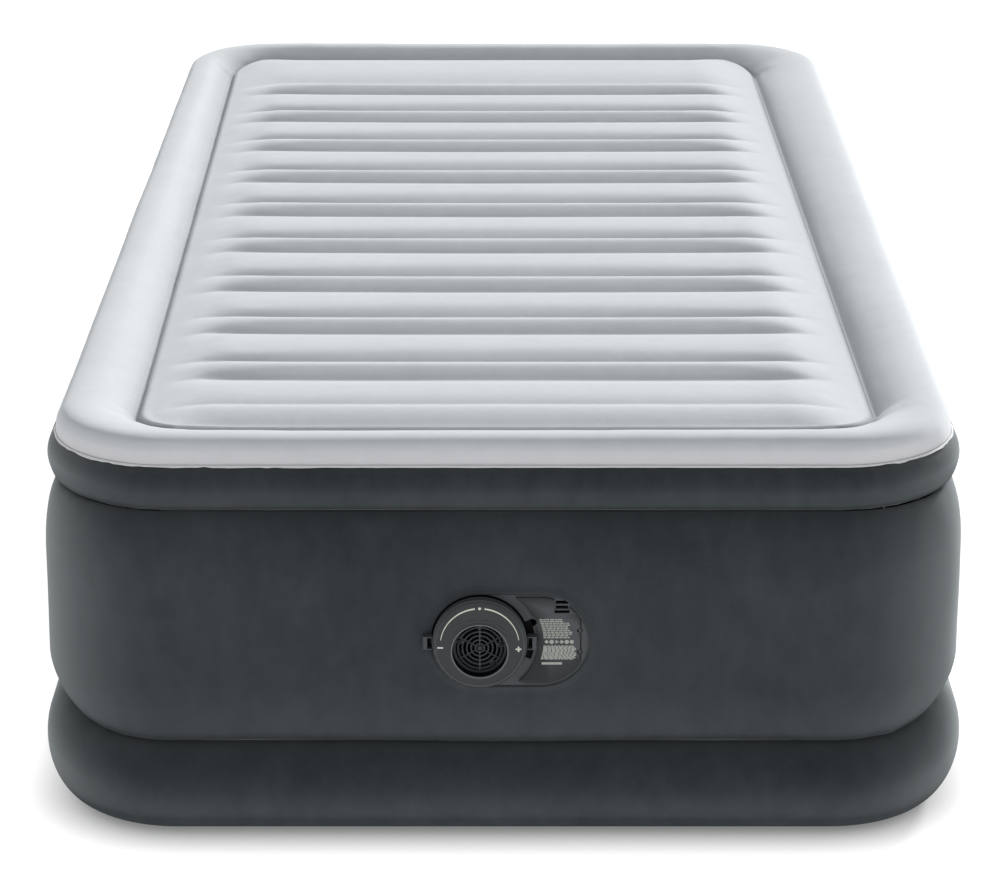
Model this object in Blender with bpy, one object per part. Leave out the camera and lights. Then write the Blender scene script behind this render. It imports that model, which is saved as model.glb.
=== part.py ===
"""Raised flocked air bed with a built-in mains pump, in metres, +Z up.

The origin lies on the floor under the middle of the bed. +Y runs towards the head end, and the
pump sits in the foot wall at -Y. Every sheet of the envelope and every piece of the pump is its
own closed solid. The pump is laid out in its own frame: u to the right, w up, n out of the wall.
"""
import math

import bmesh
import bpy
from mathutils import Vector

# The bed's plan and heights
BED_WIDTH = 0.990
BED_LENGTH = 1.910
CORNER_RADIUS = 0.150
CORNER_STEPS = 6
SHEET = 0.001
GAP = 0.0003
CREASE_END = 0.105
CREASE_SIDE = 0.137
CREASE_INSET = 0.030
WALL_INSET = 0.0075
WALL_FLAT_LOW = 0.172
WALL_FLAT_HIGH = 0.288
UPPER_CREASE = 0.3650
UPPER_INSET = 0.028
SEAM_HEIGHT = 0.4138
SEAM_INSET = 0.0242
GROOVE_INSET = 0.096
GROOVE_HEIGHT = 0.4195
RING_ROUND = 0.050

# The sleeping panel's chambers, from the head end to the foot end
PANEL_INSET = 0.0975
PANEL_CREST = 0.4435
VALLEY_HEIGHT = 0.4185
FOOT_VALLEY_HEIGHT = 0.4330
HEAD_CHAMBER = 0.180
NARROW_CHAMBER = 0.074
WIDE_CHAMBER = 0.089
CHAMBER_PAIRS = 9
VALLEY_HALF_LENGTH = 0.335
VALLEY_FADE = 0.045
BEAM_WEB = 0.0015
BEAM_FLANGE = 0.020

# The pump's frame: its dial axis meets the outside of the foot wall here
PUMP_X = -0.0245
PUMP_Z = 0.229
PUMP_Y = -(BED_LENGTH / 2 - WALL_INSET)
LOBE_SPACING = 0.063
PLATE_RADIUS = 0.0503
PORT_RADIUS = PLATE_RADIUS + GAP
PLATE_BACK = -0.0032
HOUSING_DEPTH = 0.095
HOUSING_WALL = 0.002
HOUSING_RADIUS = PLATE_RADIUS + 0.0001 + HOUSING_WALL
DIAL_RADIUS = 0.0486
DIAL_FACE = 0.014
DIAL_SKIN = 0.002
VENT_DROP = 0.007
VENT_RADIUS = 0.0283
GRILLE_RADIUS = 0.0279
GRILLE_BORDER = GRILLE_RADIUS - 0.0252
GRILLE_BOSS = 0.0020
GRILLE_BAR = 0.0016
GRILLE_SPOKES = 6
GRILLE_RINGS = (0.0046, 0.0090, 0.0135, 0.0180, 0.0226)
GRILLE_SCREW_ANGLES = (10, 160, 309)
GRILLE_SCREW_RADIUS = 0.0225
ROTOR_RADIUS = 0.024
LID_RADIUS = 0.0480
LID_BACK = 0.0003
LID_FRONT = 0.0025
LID_EDGE_RADIUS = 0.0606
HINGE_U = 0.1030
HINGE_N = (LID_BACK + LID_FRONT) / 2
HINGE_RADIUS = (LID_FRONT - LID_BACK) / 2
HINGE_BORE = 0.00075
END_CAP_U = 0.1050
LUG_NEAR = 0.0104
LUG_FAR = 0.0136
POCKET = (0.066, 0.094, 0.033)
FLAP_U = 0.080
FLAP_W = 0.019
FLAP_N = -HOUSING_DEPTH - 0.0025
CORD_RADIUS = 0.0025
CORD_TUB_U = 0.080
ROUND_STEPS = 32


def clear_scene():
    for item in list(bpy.data.objects):
        bpy.data.objects.remove(item, do_unlink=True)


def finish(name, colour, roughness, metallic=0.0):
    """A Principled material."""
    material = bpy.data.materials.new(name)
    material.use_nodes = True
    shader = material.node_tree.nodes["Principled BSDF"]
    shader.inputs["Base Color"].default_value = (*colour, 1.0)
    shader.inputs["Roughness"].default_value = roughness
    shader.inputs["Metallic"].default_value = metallic
    return material


def add_object(name, mesh, material, frame=None):
    """Put a mesh in the scene, in the bed's frame or under an empty."""
    mesh.shade_smooth()
    mesh.set_sharp_from_angle(angle=math.radians(35))
    part = bpy.data.objects.new(name, mesh)
    if material:
        part.data.materials.append(material)
    part.parent = frame
    bpy.context.scene.collection.objects.link(part)
    return part


def add_empty(name, location, rotation=(0, 0, 0), parent=None):
    empty = bpy.data.objects.new(name, None)
    empty.empty_display_size = 0.05
    empty.location = location
    empty.rotation_euler = rotation
    empty.parent = parent
    bpy.context.scene.collection.objects.link(empty)
    return empty


def split_alike(bm):
    """Split the quads so that both faces of a thin twisted sheet share the same diagonals."""
    for face in [face for face in bm.faces if len(face.verts) == 4]:
        corners = list(face.verts)
        first = min(range(4), key=lambda index: corners[index].co.dot(Vector((1.0, 1.7, 2.3))))
        bmesh.utils.face_split(face, corners[first], corners[(first + 2) % 4])


def skin(name, loops, closed=False, twisted=False):
    """A closed mesh through equal point loops: a ring of loops, or a row of them with both ends capped."""
    bm = bmesh.new()
    rows = [[bm.verts.new(point) for point in loop] for loop in loops]
    spans = len(rows) if closed else len(rows) - 1
    for index in range(spans):
        here, there = rows[index], rows[(index + 1) % len(rows)]
        for step in range(len(here)):
            after = (step + 1) % len(here)
            bm.faces.new((here[step], here[after], there[after], there[step]))
    if not closed:
        bm.faces.new(rows[0])
        bm.faces.new(rows[-1])
    if twisted:
        split_alike(bm)
    bmesh.ops.recalc_face_normals(bm, faces=bm.faces)
    mesh = bpy.data.meshes.new(name)
    bm.to_mesh(mesh)
    bm.free()
    return mesh


def combine(part, tool, operation):
    """Join a tool to a part, cut it away or keep their overlap, and remove the tool."""
    boolean = part.modifiers.new(operation, "BOOLEAN")
    boolean.operation = operation
    boolean.solver = "EXACT"
    boolean.object = tool
    bpy.context.view_layer.update()
    evaluated = part.evaluated_get(bpy.context.evaluated_depsgraph_get())
    mesh = bpy.data.meshes.new_from_object(evaluated)
    part.modifiers.clear()
    part.data = mesh
    bpy.data.objects.remove(tool, do_unlink=True)
    mesh.shade_smooth()
    mesh.set_sharp_from_angle(angle=math.radians(35))


def smooth(value):
    """0 to 1 with level ends."""
    value = min(max(value, 0.0), 1.0)
    return value * value * (3 - 2 * value)


# ---------------------------------------------------------------- the envelope


def plan_stations():
    """Corner centre and outward direction at each point round the plan, anticlockwise from +X."""
    stations = []
    reach_x = BED_WIDTH / 2 - CORNER_RADIUS
    reach_y = BED_LENGTH / 2 - CORNER_RADIUS
    for quarter, (side_x, side_y) in enumerate(((1, 1), (-1, 1), (-1, -1), (1, -1))):
        centre = Vector((side_x * reach_x, side_y * reach_y))
        for step in range(CORNER_STEPS + 1):
            angle = math.radians(90) * (quarter + step / CORNER_STEPS)
            stations.append((centre, Vector((math.cos(angle), math.sin(angle)))))
    return stations


def plan_point(station, offset, height):
    """A point beyond (or, if negative, inside) the nominal outline."""
    centre, outward = station
    spot = centre + outward * (CORNER_RADIUS + offset)
    return (spot.x, spot.y, height)


def plan_loop(offset, height):
    return [plan_point(station, offset, height) for station in plan_stations()]


def inner_line(line):
    """The line one sheet thickness to the left of a line of (offset, height) points."""
    normals = []
    for (x0, z0), (x1, z1) in zip(line, line[1:]):
        normals.append(Vector((z0 - z1, x1 - x0)).normalized())
    shifted = []
    for index, (x, z) in enumerate(line):
        before = normals[max(index - 1, 0)]
        after = normals[min(index, len(normals) - 1)]
        middle = (before + after).normalized()
        reach = SHEET / max(middle.dot(after), 0.5)
        shifted.append((x + middle.x * reach, z + middle.y * reach))
    return shifted


def sheet_ring(name, profile, material):
    """A sheet swept round the plan. profile(endness) is its outer line, 0 at the sides, 1 at the ends."""
    loops = []
    for station in plan_stations():
        line = profile(smooth(abs(station[1].y)))
        section = line + inner_line(line)[::-1]
        loops.append([plan_point(station, offset, height) for offset, height in section])
    return add_object(name, skin(name, loops, closed=True, twisted=True), material)


def crease_height(endness):
    return CREASE_SIDE + (CREASE_END - CREASE_SIDE) * endness


def base_ring_line(endness):
    """A flange on the bottom sheet, then up round the base tube to the lower crease."""
    top_angle = math.radians(70)
    low = SHEET + 0.0004
    lift = (crease_height(endness) - low) / (1 + math.sin(top_angle))
    line = [(-RING_ROUND - 0.028, low)]
    for step in range(8):
        angle = math.radians(-90) + (top_angle + math.radians(90)) * step / 7
        line.append((RING_ROUND * (math.cos(angle) - 1), low + lift * (1 + math.sin(angle))))
    return line


def crease_band_line(endness):
    low = crease_height(endness) + GAP
    return [(-0.100, low), (-CREASE_INSET - 0.0015, low)]


def main_wall_line(endness):
    """Out of the lower crease, a flat stretch where the pump sits, and in to the upper crease."""
    start = crease_height(endness) + GAP + SHEET + GAP
    line = []
    for step in range(4):
        angle = math.radians(90) * step / 3
        offset = -CREASE_INSET + (CREASE_INSET - WALL_INSET) * math.sin(angle)
        line.append((offset, WALL_FLAT_LOW - (WALL_FLAT_LOW - start) * math.cos(angle)))
    for step in range(4):
        angle = math.radians(90) * step / 3
        offset = -UPPER_INSET + (UPPER_INSET - WALL_INSET) * math.cos(angle)
        line.append((offset, WALL_FLAT_HIGH + (UPPER_CREASE - SHEET - WALL_FLAT_HIGH) * math.sin(angle)))
    return line


def border_floor_line(endness):
    return [(-GROOVE_INSET - 0.0025, UPPER_CREASE - 0.0005), (-UPPER_INSET - 0.0005, UPPER_CREASE - 0.0005)]


def upper_band_line(endness):
    return [
        (-UPPER_INSET, UPPER_CREASE + 0.0010),
        (-0.0195, 0.3740),
        (-0.0150, 0.3870),
        (-0.0155, 0.4000),
        (-SEAM_INSET, SEAM_HEIGHT - GAP),
    ]


def border_top_line(endness):
    """Up over the rounded border and down into the groove round the sleeping panel."""
    return [
        (-SEAM_INSET - 0.0004, SEAM_HEIGHT + GAP),
        (-0.0320, 0.4265),
        (-0.0440, 0.4360),
        (-0.0575, 0.4395),
        (-0.0710, 0.4375),
        (-0.0840, 0.4305),
        (-GROOVE_INSET + 0.0015, GROOVE_HEIGHT + 0.0005),
    ]


def border_inner_line(endness):
    return [(-GROOVE_INSET, UPPER_CREASE + 0.0012), (-GROOVE_INSET, GROOVE_HEIGHT)]


def chamber_edges():
    """Y positions of the panel's chamber edges, from the head end to the foot end."""
    end = BED_LENGTH / 2 - PANEL_INSET
    edges = [end, end - HEAD_CHAMBER]
    for _ in range(CHAMBER_PAIRS):
        edges.append(edges[-1] - NARROW_CHAMBER)
        edges.append(edges[-1] - WIDE_CHAMBER)
    edges.append(-end)
    return edges


def panel_half_width(y):
    """Half the panel's width at y, with its four rounded corners."""
    radius = CORNER_RADIUS - PANEL_INSET
    half = BED_WIDTH / 2 - PANEL_INSET
    into_corner = abs(y) - (BED_LENGTH / 2 - PANEL_INSET - radius)
    if into_corner <= 0:
        return half
    return half - radius + math.sqrt(max(radius * radius - into_corner * into_corner, 0.0))


def valley_height(index):
    """The height of valley number index: the last ones before the foot end are shallow."""
    shallow = smooth((index - (2 * CHAMBER_PAIRS - 1)) / 2)
    return VALLEY_HEIGHT + (FOOT_VALLEY_HEIGHT - VALLEY_HEIGHT) * shallow


def panel_height(x, y, row):
    """Height of the sleeping panel's upper face; row counts quarter chambers from the head end."""
    half = BED_LENGTH / 2 - PANEL_INSET
    side = smooth((BED_WIDTH / 2 - PANEL_INSET - abs(x)) / 0.050)
    end = smooth((half - abs(y)) / 0.040)
    crown = GROOVE_HEIGHT + (PANEL_CREST - GROOVE_HEIGHT) * min(side, end)
    chamber, quarter = divmod(row, 4)
    if quarter > 2:
        chamber += 1
    near_valley = (1.0, 0.25, 0.0, 0.25)[quarter]
    fade = smooth((VALLEY_HALF_LENGTH - abs(x)) / VALLEY_FADE)
    if 0 < chamber < 2 * CHAMBER_PAIRS + 2:
        crown -= max(crown - valley_height(chamber), 0.0) * near_valley * fade
    return crown


def sleeping_panel(material):
    edges = chamber_edges()
    rows = []
    for near, far in zip(edges, edges[1:]):
        rows.extend(near + (far - near) * quarter / 4 for quarter in range(4))
    rows.append(edges[-1])
    shares = (-1, -0.965, -0.92, -0.86, -0.78, -0.4, 0, 0.4, 0.78, 0.86, 0.92, 0.965, 1)
    loops = []
    for row, y in enumerate(rows):
        width = panel_half_width(y)
        top = [(share * width, y, panel_height(share * width, y, row)) for share in shares]
        under = [(x, y, height - SHEET) for x, _, height in reversed(top)]
        loops.append(top + under)
    add_object("sleeping_panel", skin("sleeping_panel", loops, twisted=True), material)


def beam(name, y, top, material):
    """A fibre I-beam from the bottom sheet up to a valley of the sleeping panel."""
    low = SHEET + GAP
    half_web = BEAM_WEB / 2
    half_flange = BEAM_FLANGE / 2
    right = [
        (half_flange, low),
        (half_flange, low + SHEET),
        (half_web, low + SHEET),
        (half_web, top - SHEET),
        (half_flange, top - SHEET),
        (half_flange, top),
    ]
    section = right + [(-offset, height) for offset, height in reversed(right)]
    reach = VALLEY_HALF_LENGTH - 0.005
    loops = [[(x, y + offset, height) for offset, height in section] for x in (-reach, reach)]
    add_object(name, skin(name, loops), material)


def build_envelope(dark, light, inner):
    loops = [plan_loop(-RING_ROUND + 0.003, height) for height in (0.0, SHEET)]
    add_object("bottom_sheet", skin("bottom_sheet", loops), inner)
    sheet_ring("base_ring", base_ring_line, dark)
    sheet_ring("crease_band", crease_band_line, inner)
    wall = sheet_ring("main_wall", main_wall_line, dark)
    sheet_ring("border_floor_sheet", border_floor_line, inner)
    sheet_ring("border_inner_wall", border_inner_line, inner)
    sheet_ring("upper_band", upper_band_line, dark)
    sheet_ring("border_top_sheet", border_top_line, light)
    sleeping_panel(light)
    for index, y in enumerate(chamber_edges()[1:-1], start=1):
        beam(f"beam_{index:02d}", y, valley_height(index) - SHEET - 0.0015, inner)
    return wall


# ---------------------------------------------------------------- shapes in the pump's frame


def circle(radius, centre=(0.0, 0.0), steps=ROUND_STEPS):
    turn = 2 * math.pi / steps
    return [
        (centre[0] + radius * math.cos(turn * step), centre[1] + radius * math.sin(turn * step))
        for step in range(steps)
    ]


def racetrack(radius, steps=16):
    """Two half circles about the pump's lobes, joined by straight lines."""
    outline = []
    for centre, start in ((LOBE_SPACING, -90), (0.0, 90)):
        for step in range(steps + 1):
            angle = math.radians(start + 180 * step / steps)
            outline.append((centre + radius * math.cos(angle), radius * math.sin(angle)))
    return outline


def level(outline, n):
    return [(u, w, n) for u, w in outline]


def prism(name, outline, low, high, material=None, frame=None):
    return add_object(name, skin(name, [level(outline, low), level(outline, high)]), material, frame)


def ring(name, outer, inner, low, high, material, frame):
    """A flat ring between two outlines with equal point counts."""
    loops = [level(outer, low), level(outer, high), level(inner, high), level(inner, low)]
    return add_object(name, skin(name, loops, closed=True), material, frame)


def turned(name, profile, material, frame, centre=(0.0, 0.0), steps=ROUND_STEPS):
    """A closed (radius, n) profile turned about an axis along n."""
    loops = [level(circle(radius, centre, steps), n) for radius, n in profile]
    return add_object(name, skin(name, loops, closed=True), material, frame)


def rod(name, radius, low, high, material, frame, centre=(0.0, 0.0), steps=16):
    return prism(name, circle(radius, centre, steps), low, high, material, frame)


def block(name, corner, size, material=None, frame=None):
    u, w, n = corner
    du, dw, dn = size
    outline = [(u, w), (u + du, w), (u + du, w + dw), (u, w + dw)]
    return prism(name, outline, n, n + dn, material, frame)


def bar_along_w(name, outline, low, high, material=None, frame=None):
    """A (u, n) outline drawn out along w."""
    loops = [[(u, w, n) for u, n in outline] for w in (low, high)]
    return add_object(name, skin(name, loops), material, frame)


def bar_along_u(name, outline, low, high, material=None, frame=None):
    """A (w, n) outline drawn out along u."""
    loops = [[(u, w, n) for w, n in outline] for u in (low, high)]
    return add_object(name, skin(name, loops), material, frame)


# ---------------------------------------------------------------- the pump's fixed parts


def ear_outline(side):
    """The (u, n) outline of one of the two ears beside the dial; the left one laps over the wall."""
    inner, outer = 0.0491, 0.0590
    foot = outer if side > 0 else 0.0496
    step = -0.0020 if side > 0 else 0.0005
    points = [(inner, -0.0020), (foot, -0.0020), (foot, step), (outer, step), (outer, 0.0070)]
    if side > 0:
        points.remove((outer, step))
    points += [(outer - 0.002, 0.0090), (inner, 0.0090)]
    return [(side * u, n) for u, n in points]


def pocket_outline(grow=0.0):
    """The rectangular mouth of the cord pocket."""
    left, right, half = POCKET[0] - grow, POCKET[1] + grow, POCKET[2] + grow
    return [(left, -half), (right, -half), (right, half), (left, half)]


def end_segment(radius, left):
    """The part of the racetrack's right end that lies beyond u = left."""
    sweep = math.acos((left - LOBE_SPACING) / radius)
    outline = []
    for step in range(13):
        angle = -sweep + 2 * sweep * step / 12
        outline.append((LOBE_SPACING + radius * math.cos(angle), radius * math.sin(angle)))
    return outline


def hinge_lug_outline():
    """The (u, n) outline of a lug: an eye round the hinge pin, and a root in the plate's raised end."""
    root = END_CAP_U + 0.0010
    outline = [(root, LID_BACK), (root, LID_FRONT)]
    for step in range(9):
        angle = math.radians(90 + 180 * step / 8)
        outline.append((HINGE_U + HINGE_RADIUS * math.cos(angle), HINGE_N + HINGE_RADIUS * math.sin(angle)))
    return outline


def front_plate(material, frame):
    plate = prism("front_plate", racetrack(PLATE_RADIUS), PLATE_BACK, 0.0, material, frame)
    hole = prism("dial_hole", circle(ROTOR_RADIUS + 0.0004), -0.01, 0.01, None, frame)
    combine(plate, hole, "DIFFERENCE")
    combine(plate, prism("pocket_hole", pocket_outline(), -0.01, 0.01, None, frame), "DIFFERENCE")
    for side in (-1, 1):
        combine(plate, bar_along_w("ear", ear_outline(side), -0.007, 0.007, None, frame), "UNION")
    raised_end = prism("raised_end", end_segment(LID_RADIUS, END_CAP_U), -0.001, LID_FRONT, None, frame)
    combine(plate, raised_end, "UNION")
    for low in (-LUG_FAR, LUG_NEAR):
        lug = bar_along_w("hinge_lug", hinge_lug_outline(), low, low + LUG_FAR - LUG_NEAR, None, frame)
        combine(plate, lug, "UNION")
    bore_outline = circle(HINGE_BORE, (HINGE_U, HINGE_N), 12)
    pin_hole = bar_along_w("pin_hole", bore_outline, -0.018, 0.018, None, frame)
    combine(plate, pin_hole, "DIFFERENCE")
    return plate


def pump_housing(material, frame):
    """The bucket behind the plate, with the check valve's port and hinge lugs on its back."""
    outer, inner = racetrack(HOUSING_RADIUS), racetrack(HOUSING_RADIUS - HOUSING_WALL)
    back, front = -HOUSING_DEPTH, PLATE_BACK - 0.0004
    floor = back + HOUSING_WALL
    loops = [level(outer, back), level(outer, front), level(inner, front), level(inner, floor)]
    housing = add_object("pump_housing", skin("pump_housing", loops), material, frame)
    port = prism("port", circle(0.015, (FLAP_U, 0.0)), back - 0.01, floor + 0.01, None, frame)
    combine(housing, port, "DIFFERENCE")
    for side in (-1, 1):
        low = FLAP_U + side * 0.0145 - 0.0015
        lug = [(FLAP_W - 0.0025, back + 0.001), (FLAP_W + 0.0025, back + 0.001)]
        lug += [(FLAP_W + 0.0025, FLAP_N - 0.0025), (FLAP_W - 0.0025, FLAP_N - 0.0025)]
        combine(housing, bar_along_u("flap_lug", lug, low, low + 0.003, None, frame), "UNION")
    bore = circle(0.0012, (FLAP_W, FLAP_N), 12)
    hole = bar_along_u("pin_hole", bore, FLAP_U - 0.02, FLAP_U + 0.02, None, frame)
    combine(housing, hole, "DIFFERENCE")
    return housing


def pump_collar(material, frame):
    """The soft ring welded to the wall's inside; its sleeve grips the housing."""
    inner = HOUSING_RADIUS + GAP
    profile = (
        (PORT_RADIUS + 0.0002, -0.0013),
        (0.0562, -0.0013),
        (0.0562, -0.0033),
        (inner + 0.002, -0.0040),
        (inner + 0.002, -0.0200),
        (inner, -0.0200),
        (inner, -0.0033),
        (PORT_RADIUS + 0.0002, -0.0031),
    )
    loops = [level(racetrack(radius), n) for radius, n in profile]
    return add_object("pump_collar", skin("pump_collar", loops, closed=True), material, frame)


def cord_tub(material, frame):
    outer, inner = pocket_outline(0.0015), pocket_outline()
    back, front = -0.0620, PLATE_BACK - GAP
    loops = [level(outer, back), level(outer, front), level(inner, front), level(inner, back + 0.0015)]
    tub = add_object("cord_tub", skin("cord_tub", loops), material, frame)
    bore = circle(0.0047, (CORD_TUB_U, -0.026), 16)
    hole = prism("cord_hole", bore, back - 0.01, back + 0.01, None, frame)
    combine(tub, hole, "DIFFERENCE")
    return tub


def blower_casing(plastic, steel, frame):
    """The volute round the impeller, the motor bracket, the motor can and its end cap."""
    volute_loops = [
        level(circle(0.0460), -0.0495),
        level(circle(0.0460), -0.0300),
        level(circle(0.0200), -0.0300),
        level(circle(0.0200), -0.0320),
        level(circle(0.0445), -0.0320),
        level(circle(0.0445), -0.0495),
    ]
    volute = add_object("volute_cover", skin("volute_cover", volute_loops, closed=True), plastic, frame)
    outlet = block("outlet", (0.020, 0.030, -0.0460), (0.020, 0.030, 0.0120), None, frame)
    combine(volute, outlet, "DIFFERENCE")
    ring("motor_bracket", circle(0.0460), circle(0.0060), -0.0520, -0.0500, steel, frame)
    ring("motor_can", circle(0.0200), circle(0.0185), -0.0820, -0.0523, steel, frame)
    ring("motor_endcap", circle(0.0200), circle(0.0060), -0.0850, -0.0823, plastic, frame)
    outer, bore = circle(0.0057, steps=24), circle(0.0019, steps=24)
    ring("front_bearing", outer, bore, -0.0530, -0.0497, steel, frame)
    ring("rear_bearing", circle(0.0057, steps=24), circle(0.0019, steps=24), -0.0855, -0.0820, steel, frame)


def micro_switch(plastic, frame):
    body = block("micro_switch", (0.0290, -0.0080, -0.0160), (0.0160, 0.0160, 0.0124), plastic, frame)
    bore_outline = circle(0.0019, (0.0, -0.0110), 12)
    combine(body, bar_along_u("bore", bore_outline, 0.0280, 0.0335, None, frame), "DIFFERENCE")
    return body


# ---------------------------------------------------------------- the cord and its plug


def cord_path():
    """Up through the tub's floor, round an oval coil, and into the back of the plug."""
    centre_u, half_u, half_w = CORD_TUB_U, 0.0100, 0.0260
    start_n, turns, pitch = -0.0550, 2.75, 0.0065
    points = [(centre_u, -half_w, -0.0720), (centre_u, -half_w, -0.0650), (centre_u, -half_w, -0.0600)]
    points.append((centre_u + 0.0008, -half_w, -0.0567))
    coil_steps = 44
    for step in range(1, coil_steps + 1):
        share = step / coil_steps
        angle = math.radians(-90) + 2 * math.pi * turns * share
        n = start_n + pitch * turns * share
        points.append((centre_u + half_u * math.cos(angle), half_w * math.sin(angle), n))
    end_n = points[-1][2]
    points += [
        (centre_u - 0.0098, -0.0060, end_n + 0.0012),
        (centre_u - 0.0082, -0.0112, end_n + 0.0026),
        (centre_u - 0.0048, -0.0138, end_n + 0.0038),
        (centre_u - 0.0016, -0.0141, end_n + 0.0055),
        (centre_u - 0.0003, -0.0140, end_n + 0.0078),
        (centre_u, -0.0140, -0.0266),
    ]
    return [Vector(point) for point in points]


def tube(name, path, radius, material, frame, sides=8):
    """A round tube along a path, its section carried along without twisting."""
    loops = []
    across = Vector((1.0, 0.0, 0.0))
    for index, point in enumerate(path):
        ahead = path[min(index + 1, len(path) - 1)]
        behind = path[max(index - 1, 0)]
        along = (ahead - behind).normalized()
        across = (across - along * across.dot(along)).normalized()
        up = along.cross(across)
        loop = []
        for side in range(sides):
            angle = 2 * math.pi * side / sides
            loop.append(point + across * radius * math.cos(angle) + up * radius * math.sin(angle))
        loops.append(loop)
    return add_object(name, skin(name, loops), material, frame)


def power_lead(plastic, metal, frame):
    tube("power_cord", cord_path(), CORD_RADIUS, plastic, frame)
    relief = ((0.0029, -0.0660), (0.0043, -0.0660), (0.0043, -0.0602), (0.0060, -0.0602))
    relief += ((0.0060, -0.0592), (0.0029, -0.0592))
    turned("strain_relief", relief, plastic, frame, (CORD_TUB_U, -0.026), 16)
    half, chamfer, low, high = 0.0130, 0.0030, -0.0210, 0.0130
    outline = [
        (CORD_TUB_U - half + chamfer, low),
        (CORD_TUB_U + half - chamfer, low),
        (CORD_TUB_U + half, low + chamfer),
        (CORD_TUB_U + half, high),
        (CORD_TUB_U - half, high),
        (CORD_TUB_U - half, low + chamfer),
    ]
    prism("mains_plug", outline, -0.0262, -0.0110, plastic, frame)
    for index, side in ((1, -1), (2, 1)):
        pin = circle(0.0020, (CORD_TUB_U + side * 0.0095, -0.0186), 12)
        loops = [[(u, w, n) for u, n in pin] for w in (high + GAP, high + 0.0185)]
        add_object(f"plug_pin_{index}", skin("pin", loops), metal, frame)


# ---------------------------------------------------------------- the pump's moving parts


def control_dial(material, axis):
    """A cup with an off-centre vent hole, whose inner collar reaches back to the rotor."""
    loops = [
        level(circle(DIAL_RADIUS - DIAL_SKIN, steps=48), DIAL_FACE - DIAL_SKIN),
        level(circle(DIAL_RADIUS - DIAL_SKIN, steps=48), 0.0004),
        level(circle(DIAL_RADIUS, steps=48), 0.0004),
        level(circle(DIAL_RADIUS, steps=48), DIAL_FACE - 0.001),
        level(circle(DIAL_RADIUS - 0.001, steps=48), DIAL_FACE),
    ]
    dial = add_object("control_dial", skin("control_dial", loops), material, axis)
    centre = (0.0, -VENT_DROP)
    collar = prism("collar", circle(VENT_RADIUS + 0.0017, centre), 0.0027, DIAL_FACE - 0.001, None, axis)
    combine(dial, collar, "UNION")
    combine(dial, prism("vent", circle(VENT_RADIUS, centre), -0.01, 0.03, None, axis), "DIFFERENCE")
    return dial


def grille_rings():
    """Radii that bound the grille's rings, and whether each span between two of them is solid."""
    radii = [0.0, GRILLE_BOSS]
    solid = [True]
    for radius in GRILLE_RINGS:
        radii += [radius - GRILLE_BAR / 2, radius + GRILLE_BAR / 2]
        solid += [False, True]
    radii += [GRILLE_RADIUS - GRILLE_BORDER, GRILLE_RADIUS]
    solid += [False, True]
    return radii, solid


class GrilleNet:
    """A flat net of ring and spoke cells; each spoke takes four columns, the first one solid."""

    def __init__(self, low, high):
        self.levels = {False: low, True: high}
        self.radii, self.solid = grille_rings()
        self.columns = 4 * GRILLE_SPOKES
        self.bm = bmesh.new()
        self.verts = {}

    def vertex(self, ring_index, column, top):
        key = (ring_index, column % self.columns if ring_index else 0, top)
        if key not in self.verts:
            pitch = 2 * math.pi / GRILLE_SPOKES
            angle = math.radians(90) + pitch * (column // 4)
            angle += (-0.5, 0.5, 3.0, 5.5)[column % 4] * pitch / 6
            radius = self.radii[ring_index]
            across, up = radius * math.cos(angle), radius * math.sin(angle) - VENT_DROP
            self.verts[key] = self.bm.verts.new((across, up, self.levels[top]))
        return self.verts[key]

    def filled(self, ring_index, column):
        if not 0 <= ring_index < len(self.solid):
            return False
        return self.solid[ring_index] or column % 4 == 0

    def add_cell(self, ring_index, column):
        corners = [(ring_index, column), (ring_index + 1, column)]
        corners += [(ring_index + 1, column + 1), (ring_index, column + 1)]
        for top in (True, False):
            face = list(dict.fromkeys(self.vertex(r, c, top) for r, c in corners))
            self.bm.faces.new(face if top else face[::-1])
        sides = ((1, ring_index + 1, column), (2, ring_index, column + 1))
        sides += ((3, ring_index - 1, column), (0, ring_index, column - 1))
        for edge, next_ring, next_column in sides:
            if self.filled(next_ring, next_column % self.columns) or (edge == 3 and ring_index == 0):
                continue
            self.add_side(corners[edge], corners[(edge + 1) % 4])

    def add_side(self, start, end):
        wall = (self.vertex(*start, True), self.vertex(*start, False))
        wall += (self.vertex(*end, False), self.vertex(*end, True))
        self.bm.faces.new(wall)

    def mesh(self):
        for ring_index in range(len(self.solid)):
            for column in range(self.columns):
                if self.filled(ring_index, column):
                    self.add_cell(ring_index, column)
        bmesh.ops.recalc_face_normals(self.bm, faces=self.bm.faces)
        mesh = bpy.data.meshes.new("vent_grille")
        self.bm.to_mesh(mesh)
        self.bm.free()
        return mesh


def vent_grille(material, axis):
    """Concentric rings on six spokes, with three pads for the screws."""
    low, high = 0.0028, 0.0043
    grille = add_object("vent_grille", GrilleNet(low, high).mesh(), material, axis)
    for centre in screw_centres():
        pad = prism("pad", circle(0.0036, centre, 12), low - 0.0001, high - 0.0004, None, axis)
        combine(grille, pad, "UNION")
        bore = prism("hole", circle(0.0015, centre, 12), -0.01, 0.02, None, axis)
        combine(grille, bore, "DIFFERENCE")
    return grille


def screw_centres():
    centres = []
    for degrees in GRILLE_SCREW_ANGLES:
        angle = math.radians(degrees)
        spot = (GRILLE_SCREW_RADIUS * math.cos(angle), GRILLE_SCREW_RADIUS * math.sin(angle) - VENT_DROP)
        centres.append(spot)
    return centres


def grille_screw(name, centre, material, axis):
    """A pan-head screw: a shank through the grille into the rotor's flange."""
    loops = [
        level(circle(0.0011, centre, 12), 0.0008),
        level(circle(0.0011, centre, 12), 0.0046),
        level(circle(0.0025, centre, 12), 0.0046),
        level(circle(0.0022, centre, 12), 0.0056),
    ]
    add_object(name, skin(name, loops), material, axis)


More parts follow.
